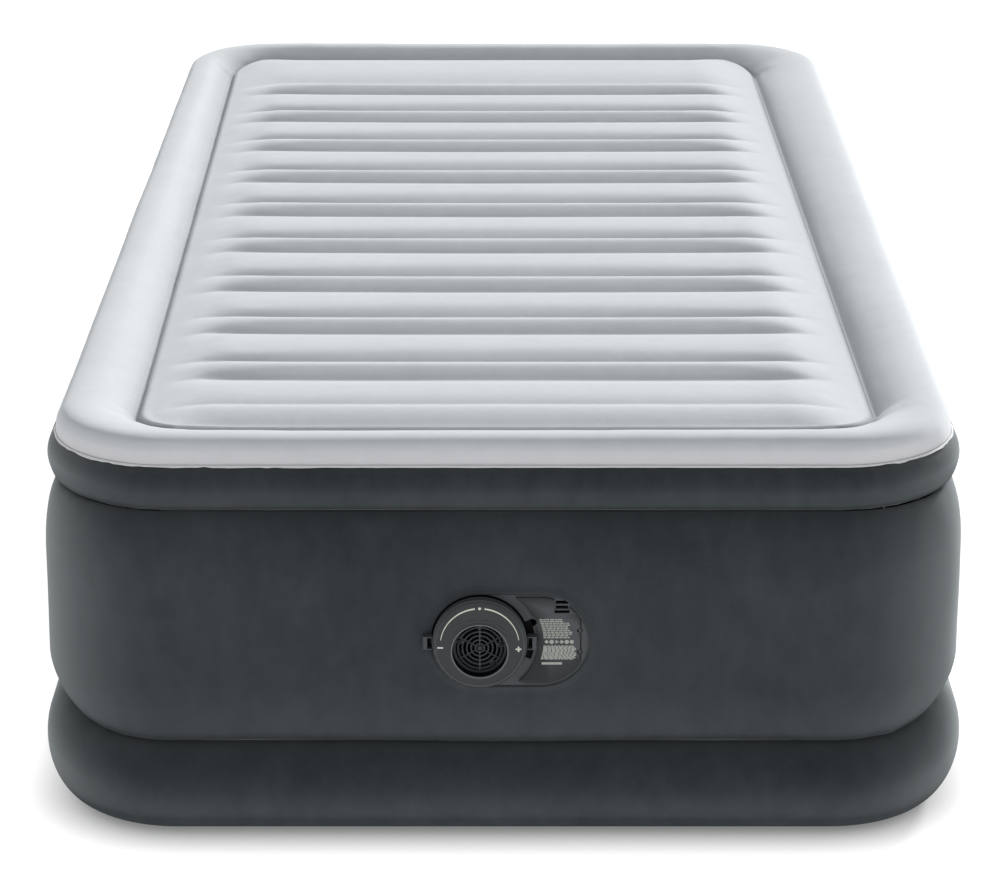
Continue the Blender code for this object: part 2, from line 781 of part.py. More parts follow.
def valve_rotor(material, axis):
    """A drum through the plate with two air windows, and a flange under the grille."""
    bore = ROTOR_RADIUS - 0.002
    profile = ((bore, -0.0260), (ROTOR_RADIUS, -0.0260), (ROTOR_RADIUS, 0.0005))
    profile += ((0.0380, 0.0005), (0.0380, 0.0024), (bore, 0.0024))
    rotor = turned("valve_rotor", profile, material, axis)
    window = block("window", (-0.008, -0.040, -0.0240), (0.016, 0.080, 0.0120), None, axis)
    combine(rotor, window, "DIFFERENCE")
    for centre in screw_centres():
        combine(rotor, prism("hole", circle(0.0014, centre, 12), -0.001, 0.01, None, axis), "DIFFERENCE")
    return rotor


def lid_outline():
    """The lid: an arc beside the dial, a cut corner below, and a straight hinge edge on the right."""
    outline = []
    first = math.asin(LID_RADIUS / LID_EDGE_RADIUS)
    last = math.radians(-48)
    for step in range(17):
        angle = first + (last - first) * step / 16
        outline.append((LID_EDGE_RADIUS * math.cos(angle), LID_EDGE_RADIUS * math.sin(angle)))
    outline.append((0.0460, -LID_RADIUS))
    reach = math.acos((HINGE_U - LOBE_SPACING) / LID_RADIUS)
    for side in (-1, 1):
        start, end = (math.radians(-90), -reach) if side < 0 else (reach, math.radians(90))
        for step in range(7):
            angle = start + (end - start) * step / 6
            outline.append((LOBE_SPACING + LID_RADIUS * math.cos(angle), LID_RADIUS * math.sin(angle)))
    return outline


def cord_door(material, axis):
    """A thin lid whose right edge is its own hinge barrel, notched round the plate's two lugs."""
    door = prism("cord_door", lid_outline(), LID_BACK, LID_FRONT, material, axis)
    barrel_outline = circle(HINGE_RADIUS, (HINGE_U, HINGE_N), 16)
    combine(door, bar_along_w("barrel", barrel_outline, -0.0240, 0.0240, None, axis), "UNION")
    for low in (-LUG_FAR - GAP, LUG_NEAR - GAP):
        size = (0.01, LUG_FAR - LUG_NEAR + 2 * GAP, 0.02)
        notch = block("lug_notch", (HINGE_U - 0.0025, low, -0.01), size, None, axis)
        combine(door, notch, "DIFFERENCE")
    notch = block("cord_notch", (0.0770, 0.0310, -0.01), (0.0155, 0.03, 0.02), None, axis)
    combine(door, notch, "DIFFERENCE")
    notch = prism("finger_notch", circle(0.0042, (0.0555, 0.0215), 16), -0.01, 0.01, None, axis)
    combine(door, notch, "DIFFERENCE")
    bore = bar_along_w("bore", circle(HINGE_BORE, (HINGE_U, HINGE_N), 12), -0.018, 0.018, None, axis)
    combine(door, bore, "DIFFERENCE")
    return door


def impeller(material, axis):
    """A backplate with eight blades, clear of the bearing in front of the motor."""
    backplate = ring("impeller", circle(0.0340), circle(0.0019, steps=32), -0.0475, -0.0460, material, axis)
    hub = ring("hub", circle(0.0050), circle(0.0019, steps=32), -0.0465, -0.0380, None, axis)
    combine(backplate, hub, "UNION")
    for blade in range(8):
        turn = math.radians(45 * blade)
        points = ((0.0040, -0.0006), (0.0330, 0.0074), (0.0330, 0.0090), (0.0040, 0.0010))
        outline = [
            (u * math.cos(turn) - w * math.sin(turn), u * math.sin(turn) + w * math.cos(turn)) for u, w in points
        ]
        combine(backplate, prism("blade", outline, -0.0465, -0.0340 - 0.0005, None, axis), "UNION")
    return backplate


def check_valve_flap(material, axis):
    flap = prism("check_valve_flap", circle(0.0175, (FLAP_U, 0.0), 24), -0.0969, -0.0954, material, axis)
    tab = block("tab", (FLAP_U - 0.010, 0.0120, -0.0968), (0.020, 0.0070, 0.0012), None, axis)
    combine(flap, tab, "UNION")
    outline = circle(0.0020, (FLAP_W, FLAP_N), 16)
    knuckle = bar_along_u("knuckle", outline, FLAP_U - 0.011, FLAP_U + 0.011, None, axis)
    combine(flap, knuckle, "UNION")
    bore = circle(0.0012, (FLAP_W, FLAP_N), 12)
    hole = bar_along_u("hole", bore, FLAP_U - 0.02, FLAP_U + 0.02, None, axis)
    combine(flap, hole, "DIFFERENCE")
    return flap


def move_origin(part, u, w, n):
    """Put a part's origin at a point of the pump's frame without moving the part."""
    for vertex in part.data.vertices:
        vertex.co -= Vector((u, w, n))
    part.location = (u, w, n)


def build_pump(wall, plastic, glossy, soft, steel, brass):
    frame = add_empty("pump_frame", (PUMP_X, PUMP_Y, PUMP_Z), (math.radians(90), 0, 0))
    combine(wall, prism("port", racetrack(PORT_RADIUS), -0.02, 0.02, None, frame), "DIFFERENCE")
    pump_collar(soft, frame)
    pump_housing(plastic, frame)
    front_plate(plastic, frame)
    cord_tub(plastic, frame)
    blower_casing(plastic, steel, frame)
    micro_switch(plastic, frame)
    power_lead(soft, brass, frame)
    ring("rotor_seal", circle(0.0270), circle(0.0243), -0.0055, -0.0035, soft, frame)
    flap_pin = circle(0.0009, (FLAP_W, FLAP_N), 12)
    bar_along_u("flap_hinge_pin", flap_pin, FLAP_U - 0.0160, FLAP_U + 0.0160, steel, frame)
    door_pin = circle(HINGE_BORE - GAP, (HINGE_U, HINGE_N), 12)
    bar_along_w("door_hinge_pin", door_pin, -0.0170, 0.0170, steel, frame)

    dial_axis = add_empty("dial_axis", (0, 0, 0), parent=frame)
    control_dial(glossy, dial_axis)
    vent_grille(plastic, dial_axis)
    for index, centre in enumerate(screw_centres(), start=1):
        grille_screw(f"grille_screw_{index}", centre, steel, dial_axis)
    valve_rotor(plastic, dial_axis)
    ring("rotor_retainer", circle(0.0280), circle(0.0243), -0.0073, -0.0058, plastic, dial_axis)

    fan_axis = add_empty("fan_axis", (0, 0, 0), parent=frame)
    impeller(plastic, fan_axis)
    rod("motor_shaft", 0.0016, -0.0900, -0.0360, steel, fan_axis)
    ring("motor_armature", circle(0.0130), circle(0.0019), -0.0780, -0.0580, brass, fan_axis)

    door = cord_door(glossy, frame)
    move_origin(door, HINGE_U, 0.0, HINGE_N)
    flap = check_valve_flap(soft, frame)
    move_origin(flap, FLAP_U, FLAP_W, FLAP_N)
    plunger_outline = circle(0.0015, (0.0, -0.0110), 12)
    plunger = bar_along_u("switch_plunger", plunger_outline, 0.0256, 0.0320, plastic, frame)
    move_origin(plunger, 0.0256, 0.0, -0.0110)


def main():
    clear_scene()
    dark = finish("dark_flock", (0.045, 0.055, 0.060), 0.95)
    light = finish("light_flock", (0.62, 0.63, 0.64), 0.95)
    inner = finish("inner_pvc", (0.10, 0.11, 0.12), 0.55)
    plastic = finish("pump_plastic", (0.030, 0.032, 0.034), 0.50)
    glossy = finish("dial_plastic", (0.045, 0.047, 0.050), 0.35)
    soft = finish("soft_rubber", (0.020, 0.020, 0.021), 0.75)
    steel = finish("plated_steel", (0.55, 0.56, 0.57), 0.35, 1.0)
    brass = finish("brass", (0.80, 0.60, 0.28), 0.35, 1.0)
    wall = build_envelope(dark, light, inner)
    build_pump(wall, plastic, glossy, soft, steel, brass)


main()
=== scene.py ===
"""Looks of the raised flocked air bed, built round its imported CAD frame.

Everything is in metres in the frame's own axes: the floor is z = 0, the head end is towards +Y,
and the pump sits in the foot wall at -Y. The pump is laid out in its own frame: u to the right,
w up and n out of the wall.
"""
import math

import bmesh
import bpy
import numpy as np
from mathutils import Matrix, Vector, noise


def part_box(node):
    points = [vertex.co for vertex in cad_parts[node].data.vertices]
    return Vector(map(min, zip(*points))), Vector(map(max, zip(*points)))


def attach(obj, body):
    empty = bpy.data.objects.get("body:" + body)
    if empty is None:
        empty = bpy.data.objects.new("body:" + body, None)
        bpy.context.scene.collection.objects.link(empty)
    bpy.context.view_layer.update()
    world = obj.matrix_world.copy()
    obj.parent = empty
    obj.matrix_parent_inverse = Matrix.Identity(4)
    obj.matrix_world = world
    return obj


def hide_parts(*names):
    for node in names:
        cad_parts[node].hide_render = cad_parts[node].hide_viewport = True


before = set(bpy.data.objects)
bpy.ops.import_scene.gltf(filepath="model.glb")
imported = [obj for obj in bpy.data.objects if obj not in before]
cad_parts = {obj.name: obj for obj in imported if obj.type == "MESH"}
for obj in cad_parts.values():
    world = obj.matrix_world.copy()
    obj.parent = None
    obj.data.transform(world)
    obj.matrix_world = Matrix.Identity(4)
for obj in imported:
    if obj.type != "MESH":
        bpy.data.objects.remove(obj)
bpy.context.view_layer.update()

# Plan and heights of the envelope, as in the CAD
HALF_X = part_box("base_ring")[1].x
HALF_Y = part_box("base_ring")[1].y
CORNER = 0.150
SHEET = 0.001
CREASE_END = 0.105
CREASE_SIDE = 0.137
CREASE_INSET = 0.030
RING_ROUND = 0.050
WALL_INSET = 0.0075
WALL_FLAT_LOW = 0.172
WALL_FLAT_HIGH = 0.288
UPPER_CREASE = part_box("upper_band")[0].z - 0.001
UPPER_INSET = 0.028
PLAN_SPACING = 0.008

# The sleeping panel
PANEL_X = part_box("sleeping_panel")[1].x
PANEL_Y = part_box("sleeping_panel")[1].y
PANEL_CORNER = CORNER - (HALF_X - PANEL_X)
GROOVE_Z = 0.4185
RIM = 0.009
CREST_Z = 0.4392
FOOT_Z = 0.4382
HEAD_CHAMBER = 0.1714
NARROW = 0.0788
WIDE = 0.0858
WIDE_DROP = 0.0067
NARROW_DROP = 0.0177
VALLEY_SHIFT = 0.0095     # valleys lie this far inside the narrow chambers' nominal edges
PAIRS = 9
SHOULDER_X = 0.305        # the panel starts to round down to the side grooves here
PULLED_CORNER = 0.068     # the groove turns the corners in a wider arc than the outline does

PANEL_HALF = 0.390

# The pump
PUMP = Vector((-0.0245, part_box("main_wall")[0].y, 0.229))
LOBE = 0.063
VENT_W = -0.007


def smooth(value):
    value = np.clip(value, 0.0, 1.0)
    return value * value * (3 - 2 * value)


def wobble(points, scale, seed):
    """Smooth noise from -1 to 1 at each point; seed moves to another part of the noise."""
    shift = Vector((seed * 7.31, seed * 3.17, seed * 5.71))
    flat = points.reshape(-1, points.shape[-1])
    values = [noise.noise(Vector(point) * scale + shift) for point in flat]
    return np.array(values).reshape(points.shape[:-1])


# ---------------------------------------------------------------- node materials


class Nodes:
    """Builds one material's node tree."""

    def __init__(self, name):
        self.material = bpy.data.materials.new(name)
        self.material.use_nodes = True
        self.tree = self.material.node_tree
        self.shader = self.tree.nodes["Principled BSDF"]
        self.place = self.add("ShaderNodeTexCoord").outputs["Object"]

    def add(self, kind, **settings):
        node = self.tree.nodes.new(kind)
        for key, value in settings.items():
            setattr(node, key, value)
        return node

    def join(self, source, target):
        if isinstance(source, bpy.types.NodeSocket):
            self.tree.links.new(source, target)
        else:
            target.default_value = source

    def set(self, **values):
        for key, value in values.items():
            self.join(value, self.shader.inputs[key.replace("_", " ")])

    def noise(self, scale, detail=3.0, rough=0.55, stretch=None):
        node = self.add("ShaderNodeTexNoise")
        place = self.place
        if stretch:
            mapping = self.add("ShaderNodeMapping")
            self.join(place, mapping.inputs["Vector"])
            mapping.inputs["Scale"].default_value = stretch
            place = mapping.outputs["Vector"]
        self.join(place, node.inputs["Vector"])
        node.inputs["Scale"].default_value = scale
        node.inputs["Detail"].default_value = detail
        node.inputs["Roughness"].default_value = rough
        return node.outputs["Fac"]

    def ramp(self, source, low, high, start=0.0, end=1.0):
        """Maps low..high of a value to start..end, clamped."""
        node = self.add("ShaderNodeMapRange")
        for key, value in (("Value", source), ("From Min", low), ("From Max", high), ("To Min", start), ("To Max", end)):
            self.join(value, node.inputs[key])
        return node.outputs["Result"]

    def math(self, operation, first, second=0.0):
        node = self.add("ShaderNodeMath", operation=operation)
        self.join(first, node.inputs[0])
        self.join(second, node.inputs[1])
        return node.outputs["Value"]

    def mix(self, factor, first, second, blend="MIX"):
        node = self.add("ShaderNodeMix", data_type="RGBA", blend_type=blend)
        self.join(factor, node.inputs[0])
        self.join(self.colour(first), node.inputs[6])
        self.join(self.colour(second), node.inputs[7])
        return node.outputs[2]

    def colour(self, value):
        return value if isinstance(value, bpy.types.NodeSocket) else (*value, 1.0)

    def bump(self, height, strength, distance, below=None):
        node = self.add("ShaderNodeBump")
        node.inputs["Strength"].default_value = strength
        node.inputs["Distance"].default_value = distance
        self.join(height, node.inputs["Height"])
        if below:
            self.join(below, node.inputs["Normal"])
        return node.outputs["Normal"]

    def facing(self, blend):
        node = self.add("ShaderNodeLayerWeight")
        node.inputs["Blend"].default_value = blend
        return node.outputs["Facing"]

    def worn_edges(self, start, end):
        pointiness = self.add("ShaderNodeNewGeometry").outputs["Pointiness"]
        return self.ramp(pointiness, start, end)


def flock(name, dark, light, rim, spread, sheen, patch, painted_hollow_shade=1.0, lilac_steep_shade=None):
    """Short nap on PVC: brushed patches and fine fibres, with painted light: a rim highlight where the surface is seen
    edge-on, shade with a lilac tint on steep faces and shade in hollows.
    """
    n = Nodes(name)
    broad = n.noise(7.0, 5.0, 0.60, (1.0, 1.0, 0.7))
    small = n.noise(46.0, 4.0, 0.62, (1.0, 1.0, 0.6))
    fibre = n.noise(1500.0, 2.0, 0.7)
    nap = n.math("ADD", n.math("MULTIPLY", broad, 0.5), n.math("MULTIPLY", small, 0.5))
    tone = n.mix(n.ramp(nap, 0.40 - patch, 0.60 + patch), dark, light)
    speckle = n.ramp(fibre, 0.25, 0.75, 0.90, 1.08)
    tone = n.mix(1.0, tone, n.mix(speckle, (0, 0, 0), (1, 1, 1)), "MULTIPLY")
    upright = n.add("ShaderNodeSeparateXYZ")
    n.join(n.add("ShaderNodeNewGeometry").outputs["Normal"], upright.inputs[0])
    # Painted rim highlight: the colour turns towards the rim colour where the surface is seen edge-on, fading out on
    # faces that point down.
    painted_rim_mask = n.ramp(upright.outputs["Z"], -0.55, 0.05)
    edge = n.math("MULTIPLY", n.math("POWER", n.facing(0.5), 1.4), painted_rim_mask)
    tone = n.mix(n.math("MULTIPLY", edge, spread), tone, rim)
    # Painted shade with a lilac tint: the colour darkens on faces that turn from upward to the side and down.
    if lilac_steep_shade:
        tone = n.mix(n.ramp(upright.outputs["Z"], -0.1, 0.66, 0.75, 0.0), tone, lilac_steep_shade)
    # Painted shade: the colour is darkened where ambient occlusion finds hollows, grooves and valleys.
    if painted_hollow_shade < 1.0:
        hollow = n.add("ShaderNodeAmbientOcclusion", samples=12)
        hollow.inputs["Distance"].default_value = 0.07
        depth = n.ramp(hollow.outputs["AO"], 0.55, 0.97, painted_hollow_shade, 1.0)
        tone = n.mix(1.0, tone, n.mix(depth, (0, 0, 0), (1, 1, 1)), "MULTIPLY")
    level = n.bump(small, 0.25, 0.0006)
    level = n.bump(fibre, 0.30, 0.0003, level)
    n.set(Base_Color=tone, Roughness=0.92, Normal=level, Sheen_Weight=sheen, Sheen_Roughness=0.45)
    n.set(Sheen_Tint=(*rim, 1.0), Specular_IOR_Level=0.10)
    return n.material


def moulded(name, base, roughness, wear, grain=0.10, gloss=0.30):
    """Fine-grained moulded plastic, a little lighter where edges are rubbed."""
    n = Nodes(name)
    blotch = n.noise(35.0, 4.0)
    dust = n.noise(420.0, 3.0, 0.7)
    texture = n.noise(2600.0, 2.0, 0.6)
    tone = n.mix(n.ramp(blotch, 0.35, 0.65), base, tuple(channel * 1.25 for channel in base))
    tone = n.mix(n.ramp(dust, 0.60, 0.78, 0.0, 0.25), tone, tuple(channel * 2.2 + 0.01 for channel in base))
    tone = n.mix(n.math("MULTIPLY", n.worn_edges(0.52, 0.60), 0.6), tone, wear)
    n.set(Base_Color=tone, Roughness=n.ramp(blotch, 0.3, 0.7, roughness - 0.06, roughness + 0.08))
    n.set(Normal=n.bump(texture, grain, 0.0002), Specular_IOR_Level=gloss)
    return n.material


def metal(name, base, roughness, stretch):
    n = Nodes(name)
    brushed = n.noise(900.0, 3.0, 0.6, stretch)
    stain = n.noise(120.0, 4.0, 0.6)
    tone = n.mix(n.ramp(stain, 0.4, 0.7), base, tuple(channel * 0.72 for channel in base))
    n.set(Base_Color=tone, Metallic=1.0, Normal=n.bump(brushed, 0.12, 0.0001))
    n.set(Roughness=n.ramp(brushed, 0.3, 0.7, roughness - 0.08, roughness + 0.10))
    return n.material


def vinyl(name, base, cell):
    """Calendered sheet with an embossed pebble grain and cloudy thickness."""
    n = Nodes(name)
    cloud = n.noise(14.0, 4.0)
    pebble = n.add("ShaderNodeTexVoronoi")
    n.join(n.place, pebble.inputs["Vector"])
    pebble.inputs["Scale"].default_value = cell
    tone = n.mix(n.ramp(cloud, 0.35, 0.65), base, tuple(channel * 1.5 for channel in base))
    n.set(Base_Color=tone, Roughness=n.ramp(cloud, 0.3, 0.7, 0.38, 0.58))
    n.set(Normal=n.bump(pebble.outputs["Distance"], 0.35, 0.0003))
    return n.material


def printed(name, base):
    n = Nodes(name)
    scuff = n.noise(700.0, 3.0, 0.7)
    tone = n.mix(n.ramp(scuff, 0.62, 0.74, 0.0, 0.5), base, tuple(channel * 0.45 for channel in base))
    n.set(Base_Color=tone, Roughness=0.55, Normal=n.bump(scuff, 0.1, 0.0001))
    return n.material


FINISHES = {
    # The flock finishes carry painted light: a lighter rim colour where seen edge-on; the light flock also has painted
    # shade in hollows (0.40) and lilac-tinted painted shade on steep faces.
    "dark_flock": flock("dark_flock_nap", (0.033, 0.040, 0.044), (0.051, 0.059, 0.064), (0.42, 0.45, 0.46), 0.78, 0.08, 0.06),
    "light_flock": flock("light_flock_nap", (0.74, 0.775, 0.80), (0.82, 0.855, 0.88), (0.88, 0.90, 0.92), 0.25, 0.42, 0.10,
                         0.40, (0.68, 0.65, 0.68)),
    "inner_pvc": vinyl("inner_pvc_grain", (0.085, 0.094, 0.100), 700.0),
    "pump_plastic": moulded("pump_plastic_grain", (0.016, 0.018, 0.020), 0.52, (0.10, 0.11, 0.12)),
    "dial_plastic": moulded("dial_plastic_grain", (0.034, 0.038, 0.041), 0.46, (0.20, 0.22, 0.23)),
    "soft_rubber": moulded("soft_rubber_grain", (0.012, 0.012, 0.013), 0.74, (0.03, 0.03, 0.03), 0.3),
    "plated_steel": metal("plated_steel_brushed", (0.56, 0.57, 0.58), 0.30, (1.0, 0.05, 1.0)),
    "brass": metal("brass_brushed", (0.80, 0.58, 0.26), 0.30, (1.0, 0.05, 1.0)),
}
# Paler nap than the border sheet the trim is cut from: a painted highlight along the seam's edge, with a lighter rim
# where seen edge-on.
TRIM_HIGHLIGHT = flock("seam_trim_highlight_nap", (0.86, 0.87, 0.88), (0.90, 0.91, 0.92), (0.92, 0.92, 0.93), 0.3, 0.3, 0.10)
PRINT = printed("cream_print", (0.72, 0.72, 0.62))
LABEL = printed("grey_print", (0.40, 0.42, 0.38))
LID = moulded("lid_plastic_grain", (0.020, 0.023, 0.025), 0.62, (0.12, 0.13, 0.14), 0.2)
# Paler plastic for the dial's edge line and the vent's mouth ring: a painted highlight along these edges.
EDGE_HIGHLIGHT = moulded("painted_edge_highlight_grain", (0.085, 0.090, 0.094), 0.50, (0.30, 0.32, 0.33))
# Near-black plastic set where there is only shade: painted shade in the vent, the moat round the dial, the recesses
# beside it and on the valve rotor.
SHADE = moulded("painted_shade_grain", (0.004, 0.004, 0.005), 0.75, (0.01, 0.01, 0.01), 0.1, 0.04)
BLACKED = metal("blackened_steel", (0.030, 0.030, 0.032), 0.45, (1.0, 0.05, 1.0))


# ---------------------------------------------------------------- mesh helpers


def finish_piece(name, mesh, finish, body="root", stands_for=(), angle=35):
    """Shade a mesh, give it its material and put it on its body."""
    mesh.shade_smooth()
    mesh.set_sharp_from_angle(angle=math.radians(angle))
    piece = bpy.data.objects.new(name, mesh)
    bpy.context.scene.collection.objects.link(piece)
    material = FINISHES.get(finish, finish)
    piece.data.materials.clear()
    piece.data.materials.append(material)
    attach(piece, body)
    if stands_for:
        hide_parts(*stands_for)
    return piece


def grid_normals(grid, closed):
    """Unit normals of a grid of points whose second index may run round."""
    if closed:
        along = np.roll(grid, -1, axis=1) - np.roll(grid, 1, axis=1)
    else:
        along = np.gradient(grid, axis=1)
    across = np.gradient(grid, axis=0)
    normals = np.cross(along, across)
    return normals / np.maximum(np.linalg.norm(normals, axis=2, keepdims=True), 1e-12)


def shell(name, grid, thickness, closed=True):
    """A closed thin mesh: grid is its outer face and a second face lies one thickness inside."""
    rows, columns = grid.shape[:2]
    inner = grid - grid_normals(grid, closed) * thickness
    verts = np.concatenate((grid.reshape(-1, 3), inner.reshape(-1, 3)))
    index = np.arange(rows * columns).reshape(rows, columns)
    below = index + rows * columns
    if closed:
        here, there = index, np.roll(index, -1, axis=1)
        low_here, low_there = below, np.roll(below, -1, axis=1)
    else:
        here, there = index[:, :-1], index[:, 1:]
        low_here, low_there = below[:, :-1], below[:, 1:]
    quads = [
        np.stack((here[:-1], there[:-1], there[1:], here[1:]), -1),
        np.stack((low_here[:-1], low_here[1:], low_there[1:], low_there[:-1]), -1),
        np.stack((there[0], here[0], low_here[0], low_there[0]), -1),
        np.stack((here[-1], there[-1], low_there[-1], low_here[-1]), -1),
    ]
    if not closed:
        quads.append(np.stack((index[:-1, 0], index[1:, 0], below[1:, 0], below[:-1, 0]), -1))
        quads.append(np.stack((index[1:, -1], index[:-1, -1], below[:-1, -1], below[1:, -1]), -1))
    faces = np.concatenate([quad.reshape(-1, 4) for quad in quads])
    return mesh_from(name, verts, faces)


def mesh_from(name, verts, faces):
    mesh = bpy.data.meshes.new(name)
    mesh.from_pydata(np.asarray(verts).tolist(), [], np.asarray(faces).tolist())
    mesh.update()
    return mesh


def plan_ring(spacing):
    """Points and outward directions round the nominal outline, anticlockwise from +X."""
    reach_x, reach_y = HALF_X - CORNER, HALF_Y - CORNER
    centres = ((reach_x, reach_y), (-reach_x, reach_y), (-reach_x, -reach_y), (reach_x, -reach_y))
    arc_steps = round(CORNER * math.pi / 2 / spacing)
    points, outward = [], []
    for quarter, centre in enumerate(centres):
        for step in range(arc_steps + 1):
            angle = math.pi / 2 * (quarter + step / arc_steps)
            out = np.array((math.cos(angle), math.sin(angle)))
            points.append(np.array(centre) + out * CORNER)
            outward.append(out)
        leap = np.array(centres[(quarter + 1) % 4]) - np.array(centre)
        run = round(float(np.linalg.norm(leap)) / spacing)
        start, out = points[-1], outward[-1]
        for step in range(1, run):
            points.append(start + leap * step / run)
            outward.append(out)
    return np.array(points), np.array(outward)


RING_POINTS, RING_OUT = plan_ring(PLAN_SPACING)
ENDNESS = smooth(np.abs(RING_OUT[:, 1]))
CORNERNESS = 1 - np.abs(np.abs(RING_OUT[:, 0]) - np.abs(RING_OUT[:, 1]))


def swept(offsets, heights):
    """Grid of points from (rows, stations) offsets beyond the outline and heights."""
    offsets = np.broadcast_to(offsets, (offsets.shape[0], len(RING_POINTS)))
    heights = np.broadcast_to(heights, offsets.shape)
    plan = RING_POINTS[None] + RING_OUT[None] * offsets[..., None]
    return np.concatenate((plan, heights[..., None]), axis=2)


def curve_through(points, count):
    """Evenly spaced points on a Catmull-Rom curve through the given ones."""
    points = np.array(points, float)
    padded = np.concatenate((2 * points[:1] - points[1:2], points, 2 * points[-1:] - points[-2:-1]))
    fine = []
    for index in range(1, len(padded) - 2):
        a, b, c, d = padded[index - 1 : index + 3]
        for share in np.linspace(0, 1, 12, endpoint=False):
            t, tt, ttt = share, share**2, share**3
            fine.append(0.5 * (2 * b + (c - a) * t + (2 * a - 5 * b + 4 * c - d) * tt + (3 * b - a - 3 * c + d) * ttt))
    fine.append(points[-1])
    fine = np.array(fine)
    reach = np.concatenate(([0], np.cumsum(np.linalg.norm(np.diff(fine, axis=0), axis=1))))
    spots = np.linspace(0, reach[-1], count)
    return np.stack([np.interp(spots, reach, fine[:, axis]) for axis in range(fine.shape[1])], 1)


def pushed(grid, amount):
    """The grid moved along its own normals."""
    return grid + grid_normals(grid, True) * amount[..., None]


# ---------------------------------------------------------------- the dark envelope


def crease_line():
    return CREASE_SIDE + (CREASE_END - CREASE_SIDE) * ENDNESS


def gathers(grid, distance, reach, size, seed):
    """Small folds that run away from a weld and fade with distance from it; deeper at the corners."""
    spots = grid[..., :2]
    fold = wobble(np.concatenate((spots, spots[..., :1] * 0), 2), 55.0, seed)
    fold += 0.6 * wobble(np.concatenate((spots, spots[..., :1] * 0), 2), 120.0, seed + 1)
    depth = size * (0.35 + 0.9 * CORNERNESS[None])
    return fold * depth * np.exp(-distance / reach)


def base_ring():
    top = math.radians(72)
    angles = np.linspace(math.radians(-90), top, 40)[:, None]
    low = SHEET + 0.0004
    lift = (crease_line()[None] - low) / (1 + math.sin(top))
    offsets = RING_ROUND * (np.cos(angles) - 1) + 0 * lift
    heights = low + lift * (1 + np.sin(angles))
    flange = np.linspace(-RING_ROUND - 0.028, -RING_ROUND - 0.004, 4)[:, None] + 0 * lift
    offsets = np.concatenate((flange, offsets))
    heights = np.concatenate((np.full_like(flange, low), heights))
    grid = swept(offsets, heights)
    free = smooth((heights - 0.004) / 0.02)
    amount = free * 0.0012 * wobble(grid, 5.0, 1)
    amount += free * gathers(grid, crease_line()[None] - heights, 0.016, 0.0009, 3)
    amount += smooth((0.03 - heights) / 0.03) * free * 0.0006 * wobble(grid, 40.0, 9)
    mesh = shell("base_ring_skin", pushed(grid, amount), SHEET)
    finish_piece("base_ring_skin", mesh, "dark_flock", stands_for=("base_ring",))


def wall_profile():
    """Rows of offsets and heights from the lower crease to the upper crease."""
    start = crease_line()[None] + 0.0014
    rise = np.linspace(0, math.pi / 2, 18)[:, None]
    low_offsets = -CREASE_INSET + (CREASE_INSET - WALL_INSET) * np.sin(rise) + 0 * start
    low_heights = WALL_FLAT_LOW - (WALL_FLAT_LOW - start) * np.cos(rise)
    flat_heights = np.linspace(WALL_FLAT_LOW, WALL_FLAT_HIGH, 18)[1:-1, None] + 0 * start
    flat_offsets = np.full_like(flat_heights, -WALL_INSET)
    high_offsets = -UPPER_INSET + (UPPER_INSET - WALL_INSET) * np.cos(rise) + 0 * start
    high_heights = WALL_FLAT_HIGH + (UPPER_CREASE - SHEET - WALL_FLAT_HIGH) * np.sin(rise) + 0 * start
    offsets = np.concatenate((low_offsets, flat_offsets, high_offsets))
    heights = np.concatenate((low_heights, flat_heights, high_heights))
    return offsets, heights


def port_distance(grid):
    """Distance in the wall from the racetrack's spine, large away from the foot wall."""
    u = grid[..., 0] - PUMP.x
    w = grid[..., 2] - PUMP.z
    beyond = np.maximum(np.maximum(-u, u - LOBE), 0)
    return np.hypot(beyond, w) + np.where(grid[..., 1] < -HALF_Y / 2, 0, 1.0)


def racetrack(radius, steps=48):
    outline = []
    for centre, start in ((LOBE, -90), (0.0, 90)):
        for step in range(steps + 1):
            angle = math.radians(start + 180 * step / steps)
            outline.append((centre + radius * math.cos(angle), radius * math.sin(angle)))
    return outline


def main_wall():
    offsets, heights = wall_profile()
    grid = swept(offsets, heights)
    free = smooth((port_distance(grid) - 0.062) / 0.05)
    amount = free * (0.0018 * wobble(grid, 4.2, 5) + 0.0005 * wobble(grid, 17.0, 6))
    amount += gathers(grid, heights - crease_line()[None], 0.013, 0.0010, 7)
    amount += gathers(grid, UPPER_CREASE - heights, 0.012, 0.0008, 11)
    mesh = shell("main_wall_skin", pushed(grid, amount), SHEET)
    wall = finish_piece("main_wall_skin", mesh, "dark_flock", stands_for=("main_wall",))
    cut(wall, prism("port", racetrack(0.0506), -0.02, 0.02))
    wall.data.shade_smooth()
    wall.data.set_sharp_from_angle(angle=math.radians(35))


def upper_band():
    line = curve_through(
        [(-UPPER_INSET, UPPER_CREASE + 0.0008), (-0.0205, 0.3700), (-0.0158, 0.3810), (-0.0140, 0.3925),
         (-0.0168, 0.4045), (-0.0238, 0.4135)], 24)
    heights = line[:, 1:] + 0 * RING_POINTS[None, :, 0]
    grid = swept(line[:, :1] + 0 * heights, heights)
    amount = 0.0009 * wobble(grid, 6.0, 13) * smooth((heights - 0.366) / 0.01) * smooth((0.412 - heights) / 0.01)
    amount += gathers(grid, np.abs(heights - UPPER_CREASE), 0.010, 0.0007, 15)
    amount += gathers(grid, np.abs(0.4135 - heights), 0.006, 0.0006, 19)
    mesh = shell("upper_band_skin", pushed(grid, amount), SHEET)
    finish_piece("upper_band_skin", mesh, "dark_flock", stands_for=("upper_band",))


